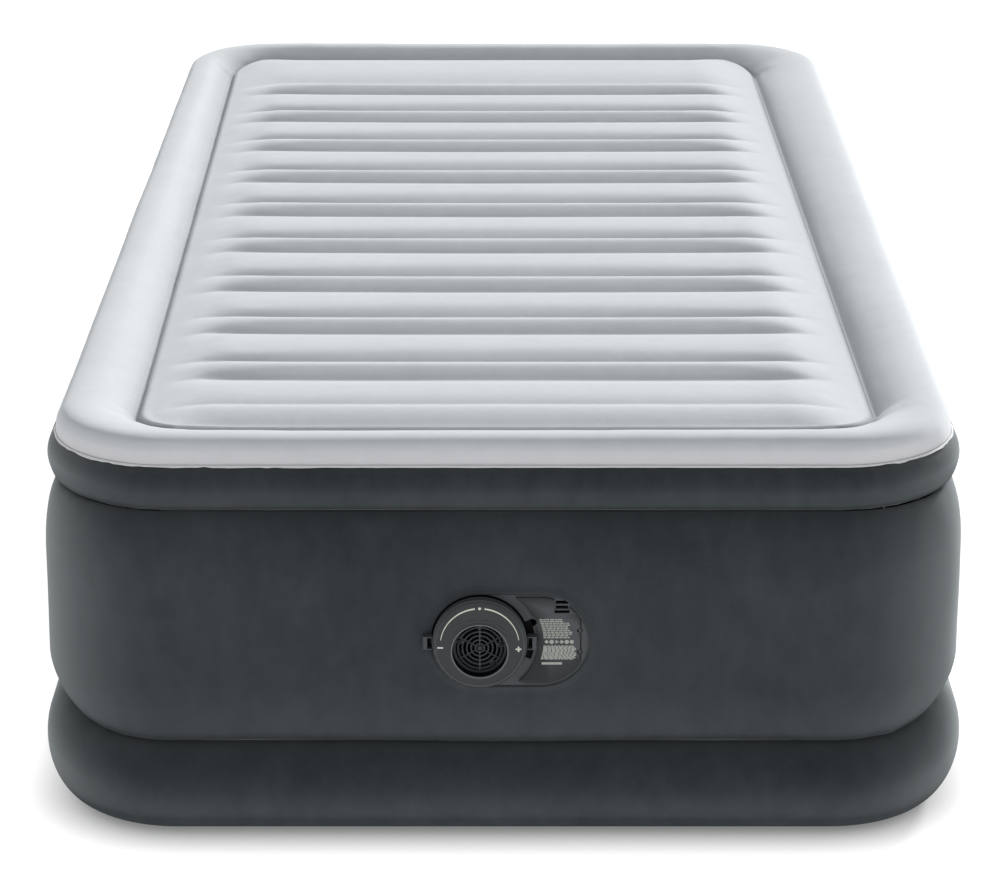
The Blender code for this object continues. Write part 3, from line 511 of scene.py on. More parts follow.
def bottom_sheet():
    """The sheet under the bed, pulled up a little where each inner beam is welded to it."""
    half_x, half_y = HALF_X - RING_ROUND + 0.003, HALF_Y - RING_ROUND + 0.003
    corner = CORNER - RING_ROUND + 0.003
    ys = np.linspace(-half_y, half_y, 560)
    into = np.maximum(np.abs(ys) - (half_y - corner), 0)
    width = half_x - corner + np.sqrt(np.maximum(corner**2 - into**2, 0))
    x = np.linspace(-1, 1, 96)[None] * width[:, None]
    y = ys[:, None] + 0 * x
    welds = chamber_edges()[1:-1]
    near = np.min(np.abs(y[..., None] - welds), axis=-1)
    inside = smooth((0.345 - np.abs(x)) / 0.03)
    lift = 0.0006 * np.exp(-((near / 0.0045) ** 2)) * inside
    place = np.stack((x, y, 0 * x), -1)
    lift += 0.0002 * (0.5 + 0.5 * np.clip(wobble(place, 30.0, 61), -1, 1)) * inside
    mesh = shell("bottom_sheet_skin", np.stack((x, y, 0.00037 + lift), -1), 0.0003, closed=False)
    finish_piece("bottom_sheet_skin", mesh, "inner_pvc", stands_for=("bottom_sheet",))


# ---------------------------------------------------------------- the light top


def ragged(length, size, seed):
    """How far a hand-trimmed weld flange reaches at each station round the bed."""
    flat = np.concatenate((RING_POINTS, np.zeros((len(RING_POINTS), 1))), 1)
    ripple = wobble(flat, 60.0, seed) + 0.7 * wobble(flat, 150.0, seed + 1)
    calm = smooth((np.abs(RING_OUT[:, 1]) - 0.97) / 0.02) * smooth((RING_POINTS[:, 0] + 0.22) / 0.10)
    return length + size * ripple * (1 - 0.85 * calm)


def askew(grid, offsets):
    """The border's inner part moved as the groove runs: wide corners, a narrower panel and its drift."""
    pull_x, pull_y = corner_pull(grid[..., 0] + RING_OUT[None, :, 0] * (-0.0945 - offsets),
                                 grid[..., 1] + RING_OUT[None, :, 1] * (-0.0945 - offsets))
    turned = smooth((-0.0450 - offsets) / 0.045)
    grid[..., 0] += turned * pull_x
    grid[..., 1] += turned * pull_y
    grid[..., 2] += turned**2 * (groove_level(grid[..., 1]) - GROOVE_Z)
    narrowing = grid[..., 0] * (PANEL_HALF / PANEL_X - 1)
    grid[..., 0] += turned * (drift(grid[..., 1]) + narrowing)
    return grid


def border_inner_wall():
    """The upright sheet under the groove, standing where the groove runs."""
    heights = np.linspace(UPPER_CREASE + 0.0016, 0.4158, 12)[:, None] + 0 * RING_POINTS[None, :, 0]
    offsets = -0.0962 + 0 * heights
    grid = askew(swept(offsets, heights), offsets)
    mesh = shell("border_inner_wall_skin", grid, 0.0006)
    finish_piece("border_inner_wall_skin", mesh, "inner_pvc", stands_for=("border_inner_wall",))


def border_top():
    line = curve_through(
        [(-0.0236, 0.4145), (-0.0241, 0.4222), (-0.0266, 0.4312), (-0.0335, 0.4384), (-0.0450, 0.4413),
         (-0.0590, 0.4402), (-0.0720, 0.4345), (-0.0838, 0.4262), (-0.0945, 0.4176)], 44)
    offsets = line[:, :1] + 0 * RING_POINTS[None, :, 0]
    heights = line[:, 1:] + 0 * offsets
    shares = np.array((1.0, 0.66, 0.33))[:, None]
    left = smooth((-RING_OUT[:, 0] - 0.3) / 0.4)
    inner_reach = np.maximum(0.0030 + (ragged(0.0040, 0.0040, 25) - 0.0020) * left, 0.0030)[None]
    inner_offsets = -0.0945 - 0.9 * inner_reach * shares[::-1]
    inner_heights = 0.4176 - 0.10 * inner_reach * shares[::-1]
    offsets = np.concatenate((offsets, inner_offsets))
    heights = np.concatenate((heights, inner_heights))
    free = smooth((heights - 0.421) / 0.008)
    grid = askew(swept(offsets, heights), offsets)
    inner_side = (offsets < -0.0550) * 1.0
    amount = free * (0.0012 * wobble(grid, 5.0, 27) + 0.0004 * wobble(grid, 22.0, 28))
    amount += free * inner_side * gathers(grid, np.abs(offsets + 0.0945), 0.010, 0.0012, 29)
    amount += free * (1 - inner_side) * gathers(grid, np.abs(offsets + 0.0236), 0.006, 0.0008, 33)
    mesh = shell("border_tube_skin", pushed(grid, amount), SHEET)
    finish_piece("border_tube_skin", mesh, "light_flock", stands_for=("border_top_sheet",))


def seam_trim():
    """The trimmed edge of the light sheet, lapping down over the top of the dark band, in a paler nap than the sheet:
    a painted highlight.
    """
    reach = ragged(0.0024, 0.0011, 21)[None]
    shares = np.linspace(1.0, 0.0, 6)[:, None]
    curl = 0.0004 * wobble(np.concatenate((RING_POINTS, np.zeros((len(RING_POINTS), 1))), 1), 45.0, 23)
    offsets = -0.0231 + 0.75 * reach * shares + curl[None] * shares
    heights = 0.4152 - 0.66 * reach * shares
    mesh = shell("seam_trim", swept(offsets, heights), 0.0006)
    finish_piece("seam_trim", mesh, TRIM_HIGHLIGHT)


def drift(y):
    """The panel is welded on slightly askew: how far it sits to the right at y."""
    return -0.0070 - 0.0088 * y / 0.8


def chamber_edges():
    edges = [PANEL_Y, PANEL_Y - HEAD_CHAMBER]
    for _ in range(PAIRS):
        edges += [edges[-1] - NARROW, edges[-1] - NARROW - WIDE]
    return np.array(edges + [-PANEL_Y])


def groove_level(y):
    """Height of the groove's bottom: it rides up behind the border at the foot end."""
    return GROOVE_Z + 0.0042 * smooth((-y - 0.815) / 0.035)


def corner_pull(x, y):
    """How a point near the groove moves so that the groove turns its corners in a wider arc."""
    across = np.maximum(np.abs(x) - (PANEL_X - PULLED_CORNER), 0)
    along = np.maximum(np.abs(y) - (PANEL_Y - PULLED_CORNER), 0)
    reach = np.hypot(across, along)
    share = np.where((across > 0) & (along > 0), np.maximum(reach - PULLED_CORNER, 0) / np.maximum(reach, 1e-9), 0)
    return -np.sign(x) * across * share, -np.sign(y) * along * share


def panel_half_width(y):
    into = np.maximum(np.abs(y) - (PANEL_Y - PULLED_CORNER), 0)
    return PANEL_X - PULLED_CORNER + np.sqrt(np.maximum(PULLED_CORNER**2 - into**2, 0))


def pillow(y, index):
    """Height of one chamber's top, carried on past its own edges."""
    edges = chamber_edges()
    far, near = edges[index], edges[index + 1]
    share = (y - (far + near) / 2) / ((far - near) / 2)
    if index == len(edges) - 2:
        run = (far - y) / (far - near)
        return FOOT_Z - 0.0140 * np.maximum(run, 0) ** 2 - 0.0035 * np.exp(-np.maximum(run, -0.2) / 0.10)
    if index % 2 == 1 and index <= 2 * PAIRS:
        return CREST_Z - NARROW_DROP * np.abs(share) ** 1.95
    height = CREST_Z - WIDE_DROP * np.abs(share) ** 2.6
    if index == 0:
        height = np.where(share > 0, CREST_Z - 0.0147 * np.abs(share) ** 3, height)
    if index == len(edges) - 3:
        height = np.where(share < 0, CREST_Z - 0.0045 * np.abs(share) ** 2.6, height)
    return height


def ridge_height(x, y):
    """Height of the ridged middle of the panel: the upper envelope of the pillows."""
    place = np.stack((x, y, 0 * x), -1)
    bend = y + 0.0010 * wobble(place * np.array((1.0, 0.3, 1.0)), 4.0, 41)
    height = np.full_like(bend, -1.0)
    for index in range(len(chamber_edges()) - 1):
        height = np.maximum(height, pillow(bend, index))
    return height


def panel_height(x, y):
    place = np.stack((x, y, 0 * x), -1)
    fade_end = 0.382 + 0.006 * wobble(np.stack((np.sign(x) * 3, y, 0 * x), -1), 14.0, 43)
    amplitude = smooth((fade_end - np.abs(x)) / 0.085)
    fall = np.maximum(np.abs(x) - SHOULDER_X, 0) / (PANEL_X - SHOULDER_X)
    sag = 0.0162 * fall**1.8
    zone = CREST_Z - 0.0022 + 0.0007 * wobble(place, 9.0, 45)
    height = zone + (ridge_height(x, y) - zone) * amplitude - sag
    inward = np.minimum(panel_half_width(y) - np.abs(x), PANEL_Y - np.abs(y))
    rim = 1 - (1 - np.clip(inward / RIM, 0, 1)) ** 2.0
    bottom = groove_level(y)
    return bottom - 0.003 + (np.maximum(height, bottom) - bottom + 0.003) * rim


def inflated(grid, pinned, pressure, cap, growth):
    """The grid blown up by a short cloth simulation, with no point moved further than cap."""
    rows, columns = grid.shape[:2]
    index = np.arange(rows * columns).reshape(rows, columns)
    quads = np.stack((index[:-1, :-1], index[:-1, 1:], index[1:, 1:], index[1:, :-1]), -1).reshape(-1, 4)
    sheet = bpy.data.objects.new("sheet", mesh_from("sheet", grid.reshape(-1, 3), quads))
    bpy.context.scene.collection.objects.link(sheet)
    held = sheet.vertex_groups.new(name="held")
    flat = pinned.ravel()
    for level in np.unique(flat[flat > 0]):
        held.add(np.nonzero(flat == level)[0].tolist(), float(level), "REPLACE")
    cloth = sheet.modifiers.new("cloth", "CLOTH")
    settings = cloth.settings
    settings.vertex_group_mass = "held"
    settings.use_pressure = True
    settings.uniform_pressure_force = pressure
    settings.effector_weights.gravity = 0
    settings.shrink_min = -growth
    settings.quality = 4
    cloth.collision_settings.use_collision = False
    cloth.point_cache.frame_start = 1
    cloth.point_cache.frame_end = 20
    for number in range(1, 21):
        bpy.context.scene.frame_set(number)
    settle(sheet)
    blown = np.zeros(rows * columns * 3)
    sheet.data.vertices.foreach_get("co", blown)
    bpy.data.objects.remove(sheet, do_unlink=True)
    bpy.context.scene.frame_set(1)
    move = blown.reshape(grid.shape) - grid
    reach = np.linalg.norm(move, axis=2, keepdims=True)
    move = move * cap / (cap + reach)
    for _ in range(4):
        inner = (move[:-2, 1:-1] + move[2:, 1:-1] + move[1:-1, :-2] + move[1:-1, 2:]) / 4
        move[1:-1, 1:-1] = 0.5 * move[1:-1, 1:-1] + 0.5 * inner
    return grid + move


def panel_pins(x, y):
    """Valley welds and the rim are held; the pins let go where the valleys end."""
    edges = chamber_edges()[1:-2]
    edges = edges + np.where(np.arange(len(edges)) % 2 == 0, -VALLEY_SHIFT, VALLEY_SHIFT)
    near = np.min(np.abs(y[..., None] - edges), axis=-1)
    pinned = (near < 0.0035) & (np.abs(x) < 0.335)
    inward = np.minimum(panel_half_width(y) - np.abs(x), PANEL_Y - np.abs(y))
    return np.where(pinned | (inward < 0.004), 1.0, 0.0)


def sleeping_panel():
    edges = chamber_edges()
    ys = []
    for far, near in zip(edges, edges[1:]):
        count = max(round((far - near) / 0.0040), 4)
        ys += list(np.linspace(far, near, count, endpoint=False))
    ys = np.array(ys + [edges[-1]])
    fine = (PANEL_Y - ys < 0.018) | (PANEL_Y + ys < 0.018)
    extra = np.concatenate([ys[:-1][fine[:-1]] + np.diff(ys)[fine[:-1]] * share for share in (0.33, 0.66)])
    ys = np.sort(np.concatenate((ys, extra)))
    shares = np.concatenate((np.linspace(-1, -0.955, 8), np.linspace(-0.948, 0.948, 130), np.linspace(0.955, 1, 8)))
    width = panel_half_width(ys)
    x = shares[None] * width[:, None]
    y = ys[:, None] + 0 * x
    grid = np.stack((x, y, panel_height(x, y)), -1)
    grid[..., 0] = x * PANEL_HALF / PANEL_X + drift(y)
    grid = inflated(grid[::-1], panel_pins(x, y)[::-1], 1.0, 0.002, 0.0)
    mesh = shell("sleeping_panel_skin", grid, SHEET, closed=False)
    finish_piece("sleeping_panel_skin", mesh, "light_flock", stands_for=("sleeping_panel",), angle=60)


# ---------------------------------------------------------------- shapes in the pump's frame


def at_pump(u, w, n):
    return (PUMP.x + u, PUMP.y - n, PUMP.z + w)


def prism(name, outline, low, high):
    """A closed mesh object from a (u, w) outline between two depths."""
    bm = bmesh.new()
    loops = [[bm.verts.new(at_pump(u, w, n)) for u, w in outline] for n in (low, high)]
    bridge(bm, loops, False)
    return loose_object(name, bm)


def bridge(bm, loops, closed):
    spans = len(loops) if closed else len(loops) - 1
    for index in range(spans):
        here, there = loops[index], loops[(index + 1) % len(loops)]
        for step in range(len(here)):
            after = (step + 1) % len(here)
            bm.faces.new((here[step], here[after], there[after], there[step]))
    if not closed:
        bm.faces.new(loops[0])
        bm.faces.new(loops[-1])


def loose_object(name, bm):
    bmesh.ops.recalc_face_normals(bm, faces=bm.faces)
    mesh = bpy.data.meshes.new(name)
    bm.to_mesh(mesh)
    bm.free()
    item = bpy.data.objects.new(name, mesh)
    bpy.context.scene.collection.objects.link(item)
    return item


def combined(part, tool, operation):
    boolean = part.modifiers.new(operation, "BOOLEAN")
    boolean.operation = operation
    boolean.solver = "EXACT"
    boolean.object = tool
    settle(part)
    bpy.data.objects.remove(tool, do_unlink=True)


def cut(part, tool):
    combined(part, tool, "DIFFERENCE")


def weld(part, tool):
    combined(part, tool, "UNION")


def settle(part):
    """Apply an object's modifiers to its mesh."""
    bpy.context.view_layer.update()
    evaluated = part.evaluated_get(bpy.context.evaluated_depsgraph_get())
    mesh = bpy.data.meshes.new_from_object(evaluated)
    part.modifiers.clear()
    part.data = mesh


def take(item, name, finish, body, stands_for=(), rounding=0.0, angle=35):
    """Turn a loose object into a finished piece with rounded edges."""
    if rounding:
        bevel = item.modifiers.new("edges", "BEVEL")
        bevel.width = rounding
        bevel.segments = 3
        bevel.limit_method = "ANGLE"
        bevel.angle_limit = math.radians(40)
        bevel.harden_normals = False
        settle(item)
    mesh = item.data
    bpy.data.objects.remove(item, do_unlink=True)
    mesh.name = name
    return finish_piece(name, mesh, finish, body, stands_for, angle)


def circle(radius, centre=(0.0, 0.0), steps=96):
    turn = 2 * math.pi / steps
    return [
        (centre[0] + radius * math.cos(turn * step), centre[1] + radius * math.sin(turn * step))
        for step in range(steps)
    ]


def lathe(name, profile, steps=96):
    """Closed loops of ((u, w) centre, radius, n), each joined to the next and the last to the first."""
    bm = bmesh.new()
    loops = []
    for centre, radius, n in profile:
        loops.append([bm.verts.new(at_pump(u, w, n)) for u, w in circle(radius, centre, steps)])
    bridge(bm, loops, True)
    return loose_object(name, bm)


def box_prism(name, corner, size):
    u, w, n = corner
    du, dw, dn = size
    return prism(name, [(u, w), (u + du, w), (u + du, w + dw), (u, w + dw)], n, n + dn)


def bar_along_w(name, outline, low, high):
    bm = bmesh.new()
    loops = [[bm.verts.new(at_pump(u, w, n)) for u, n in outline] for w in (low, high)]
    bridge(bm, loops, False)
    return loose_object(name, bm)


# ---------------------------------------------------------------- the pump's visible parts


def control_dial():
    middle, vent = (0.0, 0.0), (0.0, VENT_W)
    profile = [(middle, 0.0466, 0.0004), (middle, 0.0483, 0.0004), (middle, 0.0486, 0.0007)]
    profile += [(middle, 0.0486, 0.0100), (middle, 0.0484, 0.0110), (middle, 0.0478, 0.0118)]
    profile += [(middle, 0.0450, 0.0137), (middle, 0.0446, 0.0138), (middle, 0.0442, 0.0135)]
    profile += [(middle, 0.0437, 0.0135), (middle, 0.0434, 0.0138)]
    for share in (0.25, 0.5, 0.75):
        profile.append(((0.0, VENT_W * share), 0.0434 - 0.0124 * share, 0.0138))
    profile += [(vent, 0.0308, 0.0138), (vent, 0.0303, 0.0141), (vent, 0.0294, 0.0142)]
    profile += [(vent, 0.0287, 0.0140), (vent, 0.0283, 0.0134), (vent, 0.0283, 0.0029)]
    profile += [(vent, 0.0300, 0.0029), (vent, 0.0300, 0.0120), (middle, 0.0466, 0.0120)]
    dial = lathe("dial", profile, 128)
    take(dial, "control_dial_shell", "dial_plastic", "dial", ("control_dial",))
    # A thin ring of paler plastic round the dial's edge: a painted highlight.
    edge = [(middle, 0.0483, 0.0111), (middle, 0.0487, 0.0113), (middle, 0.0484, 0.0119)]
    take(lathe("edge", edge, 128), "dial_edge_line", EDGE_HIGHLIGHT, "dial")
    # A ring of paler plastic round the vent's mouth: a painted highlight.
    mouth = [(vent, 0.0286, 0.0136), (vent, 0.0288, 0.0143), (vent, 0.0293, 0.0145)]
    mouth += [(vent, 0.0298, 0.0143), (vent, 0.0300, 0.0136)]
    take(lathe("mouth", mouth, 128), "vent_mouth_ring", EDGE_HIGHLIGHT, "dial")
    liner = [(vent, 0.0279, 0.0046), (vent, 0.0284, 0.0046), (vent, 0.0284, 0.0133), (vent, 0.0282, 0.0133)]
    # Painted shade: the vent's liner is near-black.
    take(lathe("liner", liner, 128), "vent_liner", SHADE, "dial")
    for index, (start, end) in enumerate(((66, 86), (94, 114), (40, 58)), start=1):
        raised_arc(f"dial_rib_{index}", (0.0, VENT_W), 0.0325, 0.0352, start, end, 0.0137, 0.0142, "dial_plastic")


def arc_outline(centre, inner, outer, start, end, steps=24):
    angles = [math.radians(start + (end - start) * step / steps) for step in range(steps + 1)]
    outline = [(centre[0] + outer * math.cos(a), centre[1] + outer * math.sin(a)) for a in angles]
    return outline + [(centre[0] + inner * math.cos(a), centre[1] + inner * math.sin(a)) for a in reversed(angles)]


def raised_arc(name, centre, inner, outer, start, end, low, high, finish, rounding=0.0002):
    item = prism(name, arc_outline(centre, inner, outer, start, end), low, high)
    return take(item, name, finish, "dial", (), rounding)


def tapered_arc(start, end, broad, thin, radius=0.0406, steps=40):
    """A printed arc that narrows from its start to its end."""
    outer, inner = [], []
    for step in range(steps + 1):
        share = step / steps
        angle = math.radians(start + (end - start) * share)
        half = (broad + (thin - broad) * share) / 2
        outer.append(((radius + half) * math.cos(angle), (radius + half) * math.sin(angle)))
        inner.append(((radius - half) * math.cos(angle), (radius - half) * math.sin(angle)))
    return outer + inner[::-1]


def dial_marks():
    """Printed scale: two tapering arcs beside a dot, a minus on the left and a plus on the right."""
    low, high = 0.0137, 0.01392
    shapes = [tapered_arc(97, 172, 0.0016, 0.0007), tapered_arc(83, 8, 0.0016, 0.0007)]
    shapes.append(circle(0.0015, (0.0, 0.0406), 24))
    shapes.append([(-0.0437, -0.0036), (-0.0377, -0.0036), (-0.0377, -0.0020), (-0.0437, -0.0020)])
    plus = [(-3, -0.8), (-0.8, -0.8), (-0.8, -3), (0.8, -3), (0.8, -0.8), (3, -0.8),
            (3, 0.8), (0.8, 0.8), (0.8, 3), (-0.8, 3), (-0.8, 0.8), (-3, 0.8)]
    shapes.append([(0.0400 + u / 1000, -0.0044 + w / 1000) for u, w in plus])
    decal("dial_marks", shapes, low, high, PRINT, "dial")


def decal(name, shapes, low, high, material, body):
    """Several thin printed shapes as one piece."""
    bm = bmesh.new()
    for outline in shapes:
        loops = [[bm.verts.new(at_pump(u, w, n)) for u, w in outline] for n in (low, high)]
        bridge(bm, loops, False)
    take(loose_object(name, bm), name, material, body)


def vent_grille():
    low, high = 0.0028, 0.0043
    vent = (0.0, VENT_W)
    grille = lathe("grille", bar_rings(vent, 0.0252, 0.0279, low, high))
    for radius in (0.0046, 0.0090, 0.0135, 0.0180, 0.0226):
        weld(grille, lathe("hoop", bar_rings(vent, radius - 0.0008, radius + 0.0008, low + 0.0001, high)))
    weld(grille, prism("boss", circle(0.0020, vent, 24), low + 0.0002, high + 0.0002))
    for spoke in range(6):
        angle = math.radians(90 + 60 * spoke)
        along, across = Vector((math.cos(angle), math.sin(angle))), Vector((-math.sin(angle), math.cos(angle)))
        outline = []
        for reach, side in ((0.001, -1), (0.0258, -1), (0.0258, 1), (0.001, 1)):
            spot = Vector(vent) + along * reach + across * side * 0.0007
            outline.append(tuple(spot))
        weld(grille, prism("spoke", outline, low + 0.0003, high - 0.0002))
    for centre in screw_centres():
        weld(grille, prism("pad", circle(0.0036, centre, 32), low + 0.0002, high - 0.0003))
        cut(grille, prism("hole", circle(0.0013, centre, 24), -0.01, 0.02))
    take(grille, "vent_grille_moulding", "pump_plastic", "dial", ("vent_grille",), 0.0)


def bar_rings(centre, inner, outer, low, high):
    soft = 0.0003
    return [
        (centre, inner, low), (centre, outer, low), (centre, outer, high - soft), (centre, outer - soft, high),
        (centre, inner + soft, high), (centre, inner, high - soft),
    ]


def screw_centres():
    spots = []
    for degrees in (10, 160, 309):
        angle = math.radians(degrees)
        spots.append((0.0225 * math.cos(angle), 0.0225 * math.sin(angle) + VENT_W))
    return spots


def grille_screws():
    for index, centre in enumerate(screw_centres(), start=1):
        profile = [(0.0011, 0.0008), (0.0011, 0.0046), (0.0025, 0.0046), (0.0025, 0.0050), (0.0019, 0.0055)]
        bm = bmesh.new()
        loops = [[bm.verts.new(at_pump(u, w, n)) for u, w in circle(r, centre, 32)] for r, n in profile]
        bridge(bm, loops, False)
        screw = loose_object("screw", bm)
        for width, height in ((0.0026, 0.0006), (0.0006, 0.0026)):
            corner = (centre[0] - width / 2, centre[1] - height / 2, 0.0051)
            cut(screw, box_prism("recess", corner, (width, height, 0.002)))
        take(screw, f"grille_screw_{index}_head", BLACKED, "dial", (f"grille_screw_{index}",))


def ear_outline(side):
    inner, outer = 0.0491, 0.0590
    foot = outer if side > 0 else 0.0496
    step = -0.0020 if side > 0 else 0.0005
    points = [(inner, -0.0020), (foot, -0.0020), (foot, step), (outer, step), (outer, 0.0066)]
    if side > 0:
        points.remove((outer, step))
    points += [(outer - 0.0008, 0.0082), (outer - 0.0028, 0.0090), (inner, 0.0090)]
    return [(side * u, n) for u, n in points]


def front_plate():
    plate = prism("plate", racetrack(0.0503), -0.0032, 0.0)
    cut(plate, prism("dial_hole", circle(0.0244), -0.01, 0.01))
    cut(plate, prism("pocket", [(0.066, -0.033), (0.094, -0.033), (0.094, 0.033), (0.066, 0.033)], -0.01, 0.01))
    for low, high in ((0.0350, 0.0385), (0.0405, 0.0440)):
        cut(plate, box_prism("slot", (0.0785, low, -0.01), (0.0125, high - low, 0.02)))
    cut(plate, prism("finger_well", circle(0.0044, (0.0540, 0.0195), 32), -0.01, 0.01))
    cut(plate, lathe("moat", bar_rings((0.0, 0.0), 0.0466, 0.0509, -0.0020, 0.01)))
    recess = arc_outline((0.0, 0.0), 0.0490, 0.0568, -22, 24)
    cut(plate, prism("recess", recess, -0.0026, 0.01))
    for side in (-1, 1):
        weld(plate, bar_along_w("ear", ear_outline(side), -0.007, 0.007))
        low = min(side * 0.0480, side * 0.0543)
        cut(plate, box_prism("ear_gap", (low, -0.0060, 0.0006), (0.0063, 0.0120, 0.02)))
    sweep = math.acos((0.1050 - LOBE) / 0.0480)
    raised = []
    for step in range(33):
        angle = -sweep + 2 * sweep * step / 32
        raised.append((LOBE + 0.0480 * math.cos(angle), 0.0480 * math.sin(angle)))
    weld(plate, prism("raised_end", raised, -0.001, 0.0025))
    for low in (-0.0136, 0.0104):
        lug = [(0.1060, 0.0003), (0.1060, 0.0025)]
        for step in range(17):
            angle = math.radians(90 + 180 * step / 16)
            lug.append((0.1030 + 0.0011 * math.cos(angle), 0.0014 + 0.0011 * math.sin(angle)))
        weld(plate, bar_along_w("lug", lug, low, low + 0.0032))
    cut(plate, bar_along_w("pin_hole", circle(0.00075, (0.1030, 0.0014), 24), -0.018, 0.018))
    take(plate, "front_plate_moulding", "pump_plastic", "root", ("front_plate",), 0.00025)
    # Painted shade: near-black floors in the moat round the dial, in the side recess and in the ear gaps.
    moat = [((0.0, 0.0), 0.0469, -0.0019), ((0.0, 0.0), 0.0506, -0.0019)]
    moat += [((0.0, 0.0), 0.0506, -0.0009), ((0.0, 0.0), 0.0498, -0.0014), ((0.0, 0.0), 0.0469, -0.0014)]
    take(lathe("moat", moat, 128), "dial_moat_floor", SHADE, "root")
    floor = arc_outline((0.0, 0.0), 0.0492, 0.0566, -21.5, 23.5)
    take(prism("floor", floor, -0.0026, -0.0017), "side_recess_floor", SHADE, "root")
    for side, name in ((-1, "left"), (1, "right")):
        low = min(side * 0.0508, side * 0.0542)
        patch = box_prism("patch", (low, -0.0059, 0.0002), (0.0034, 0.0118, 0.0007))
        take(patch, f"ear_gap_floor_{name}", SHADE, "root")


def lid_outline():
    """Left arc round the dial, cut lower left corner, round right end up to the hinge line."""
    first, last = math.asin(0.0480 / 0.0606), math.radians(-48)
    outline = []
    for step in range(41):
        angle = first + (last - first) * step / 40
        outline.append((0.0606 * math.cos(angle), 0.0606 * math.sin(angle)))
    outline.append((0.0460, -0.0480))
    reach = math.acos((0.1030 - LOBE) / 0.0480)
    for start, end in ((math.radians(-90), -reach), (reach, math.radians(90))):
        for step in range(17):
            angle = start + (end - start) * step / 16
            outline.append((LOBE + 0.0480 * math.cos(angle), 0.0480 * math.sin(angle)))
    return outline


def cord_lid():
    lid = prism("lid", lid_outline(), 0.0003, 0.0025)
    weld(lid, bar_along_w("barrel", circle(0.0011, (0.1030, 0.0014), 24), -0.0240, 0.0240))
    for low in (-0.0139, 0.0101):
        cut(lid, box_prism("lug_notch", (0.1005, low, -0.01), (0.01, 0.0038, 0.02)))
    cut(lid, box_prism("cord_notch", (0.0770, 0.0310, -0.01), (0.0155, 0.03, 0.02)))
    cut(lid, prism("finger_notch", circle(0.0042, (0.0555, 0.0215), 32), -0.01, 0.01))
    cut(lid, bar_along_w("bore", circle(0.00075, (0.1030, 0.0014), 24), -0.018, 0.018))
    take(lid, "cord_lid", LID, "door", ("cord_door",), 0.0004)


def label_span(w):
    """The label's left and right ends at height w: it follows the dial on the left and the lid on the right."""
    left = math.sqrt(0.0660**2 - w**2)
    right = LOBE + math.sqrt(0.0405**2 - w**2)
    return left, min(right, 0.0995)


def label_bars(top, bottom, pitch, thick, seed, full):
    """Rows of short bars, a plain stand-in for small print."""
    shapes = []
    w, row = top, 0
    while w > bottom:
        left, right = label_span(w)
        end = right - (0.0 if full else 0.006 + 0.005 * noise.noise(Vector((row * 1.7, seed, 0.5))))
        u, item = left, 0
        while u < end - 0.002:
            run = 0.0035 + 0.0025 * noise.noise(Vector((item * 2.3, row * 3.1, seed)))
            stop = min(u + run, end)
            shapes.append([(u, w - thick), (stop, w - thick), (stop, w), (u, w)])
            u, item = stop + 0.0007, item + 1
        w, row = w - pitch, row + 1
    return shapes


def lid_label():
    """Generic printed label: bars for text and a row of plain shapes."""
    shapes = label_bars(0.0245, 0.0035, 0.0020, 0.0012, 1.5, False)
    shapes += label_bars(-0.0050, -0.0205, 0.0013, 0.0011, 7.5, True)
    for index, sides in enumerate((4, 24, 3, 4, 24, 6)):
        centre = (0.0690 + index * 0.0052, -0.0008)
        shapes.append([(centre[0] + u, centre[1] + w) for u, w in circle(0.0023, (0.0, 0.0), sides)])
    shapes.append([(0.0640, -0.0262), (0.0850, -0.0262), (0.0850, -0.0236), (0.0640, -0.0236)])
    decal("lid_label", shapes, 0.00245, 0.00262, LABEL, "door")


def weld_ring():
    """The wall's weld round the pump shows as a low raised bead in the flock."""
    steps = 64
    rings = ((0.0508, 0.1), (0.0512, 0.7), (0.0520, 1.0), (0.0532, 0.95), (0.0550, 0.6), (0.0570, 0.25), (0.0600, 0.0))
    bm = bmesh.new()
    loops = []
    for radius, height in rings:
        loop = []
        for u, w in racetrack(radius, steps):
            ear = smooth(1.5 - math.hypot((u + 0.054) / 0.016, w / 0.014)) if u < 0 else 0.0
            loop.append(bm.verts.new(at_pump(u, w, 0.0001 + height * (0.0009 - 0.0007 * float(ear)))))
        loops.append(loop)
    for radius in (0.0600, 0.0508):
        loops.append([bm.verts.new(at_pump(u, w, -0.0006)) for u, w in racetrack(radius, steps)])
    bridge(bm, loops, True)
    take(loose_object("weld_ring", bm), "pump_weld_ring", "dark_flock", "root", (), 0.0, 60)


# ---------------------------------------------------------------- finishes of the carried-over nodes


def dress_cad_nodes():
    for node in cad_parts.values():
        for holder in node.material_slots:
            holder.material = FINISHES[holder.material.name.split(".")[0]]
            # Painted shade: the valve rotor behind the grille takes the near-black finish.
            if node.name.startswith("valve_rotor"):
                holder.material = SHADE


# ---------------------------------------------------------------- stage, light and camera


